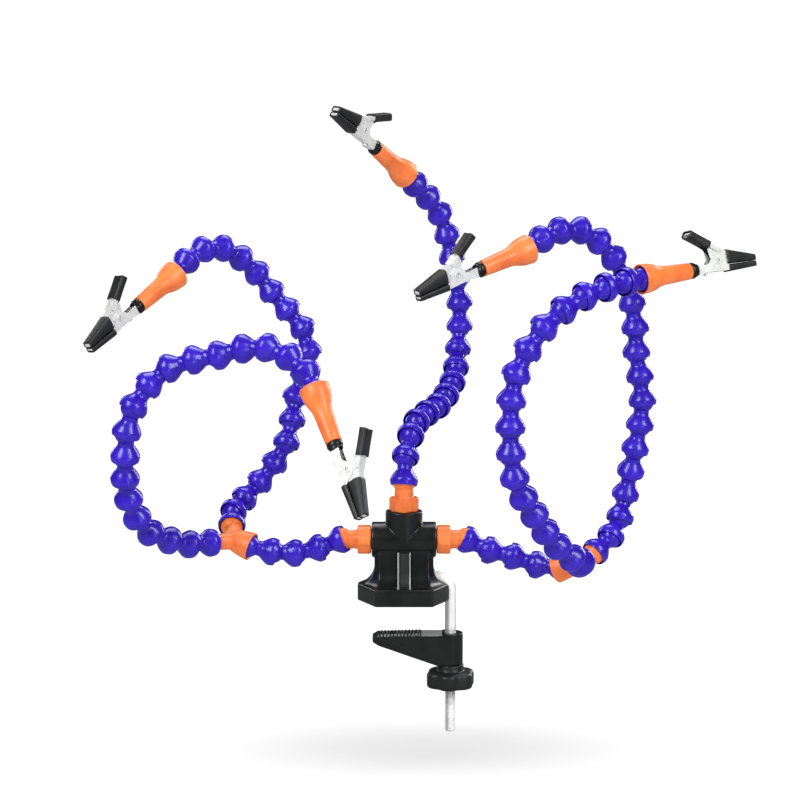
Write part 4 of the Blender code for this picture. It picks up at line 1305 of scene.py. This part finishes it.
def build_floor():
    reach, back = 6.0, 18.0
    shell = bmesh.new()
    shell.faces.new([shell.verts.new(point) for point in (
        (-reach, -reach, 0), (reach, -reach, 0), (reach, back, 0), (-reach, back, 0))])
    data = bpy.data.meshes.new("floor")
    shell.to_mesh(data)
    shell.free()
    data.materials.append(floor_material())
    floor = bpy.data.objects.new("floor", data)
    floor.location = (0, 0, ROD_END_Z * MM - 0.009)
    bpy.context.scene.collection.objects.link(floor)


def build_world():
    """White when seen directly and dim in reflections, so dark plastic keeps dark edges."""
    world = bpy.data.worlds.new("studio")
    bpy.context.scene.world = world
    shader = Shader(world)
    rays = shader.add("LightPath")
    glossy = shader.math("MULTIPLY", rays["Is Glossy Ray"], -0.25)
    camera_part = shader.math("MULTIPLY", rays["Is Camera Ray"], 0.72)
    total = shader.math("ADD", shader.math("ADD", camera_part, glossy), 0.30)
    shader.fill(shader.nodes["Background"], {"Color": (1, 1, 1, 1), "Strength": total})


def look_at(item, target):
    item.rotation_mode = "QUATERNION"
    item.rotation_quaternion = (target - item.location).to_track_quat("-Z", "Y")


MIDDLE = (0.0, 0.0, 0.11)
# Softboxes: name; azimuth (0 at the camera, positive to its right) and elevation in degrees;
# distance, width and height; power in watts; target; whether reflections show it
LIGHTS = [
    ("key", -42, 34, 1.35, 0.46, 0.80, 12.5, MIDDLE, True),
    ("fill", 44, 30, 1.35, 0.42, 0.76, 9.5, MIDDLE, True),
    ("front", 0, 41, 1.40, 0.85, 0.30, 3.5, MIDDLE, False),
    ("low_front", 24, 2, 1.40, 0.16, 0.60, 1.6, (0.0, 0.0, -0.02), True),
    ("top", 180, 66, 1.3, 0.8, 0.6, 8.0, (0.0, 0.0, 0.02), True),
    ("edge_right", 138, 18, 1.3, 0.22, 0.9, 8.0, MIDDLE, True),
    ("edge_left", -140, 18, 1.3, 0.18, 0.9, 3.0, MIDDLE, True),
]


def softbox(name, azimuth, elevation, distance, width, height, power, target, mirrored):
    azimuth, elevation = radians(azimuth), radians(elevation)
    target = Vector(target)
    light = bpy.data.lights.new(name, "AREA")
    light.shape = "RECTANGLE"
    light.size, light.size_y = width, height
    light.energy = power
    item = bpy.data.objects.new(name, light)
    item.location = target + distance * Vector((
        sin(azimuth) * cos(elevation), -cos(azimuth) * cos(elevation), sin(elevation)))
    look_at(item, target)
    item.visible_glossy = mirrored
    bpy.context.scene.collection.objects.link(item)


def build_camera():
    half_view, distance = 0.240, 1.3        # half the width seen at the target; how far it is
    elevation = radians(7.5)
    lens = bpy.data.cameras.new("camera")
    lens.sensor_width = 36.0
    lens.lens = lens.sensor_width / 2 / (half_view / distance)
    lens.clip_start, lens.clip_end = 0.05, 60.0
    camera = bpy.data.objects.new("camera", lens)
    target = Vector((-2.4, 0.0, 121.7)) * MM
    camera.location = target + Vector((0, -cos(elevation), sin(elevation))) * distance
    look_at(camera, target)
    bpy.context.scene.collection.objects.link(camera)
    bpy.context.scene.camera = camera
    bpy.context.scene.view_settings.view_transform = "Standard"


build_floor()
build_world()
for row in LIGHTS:
    softbox(*row)
build_camera()
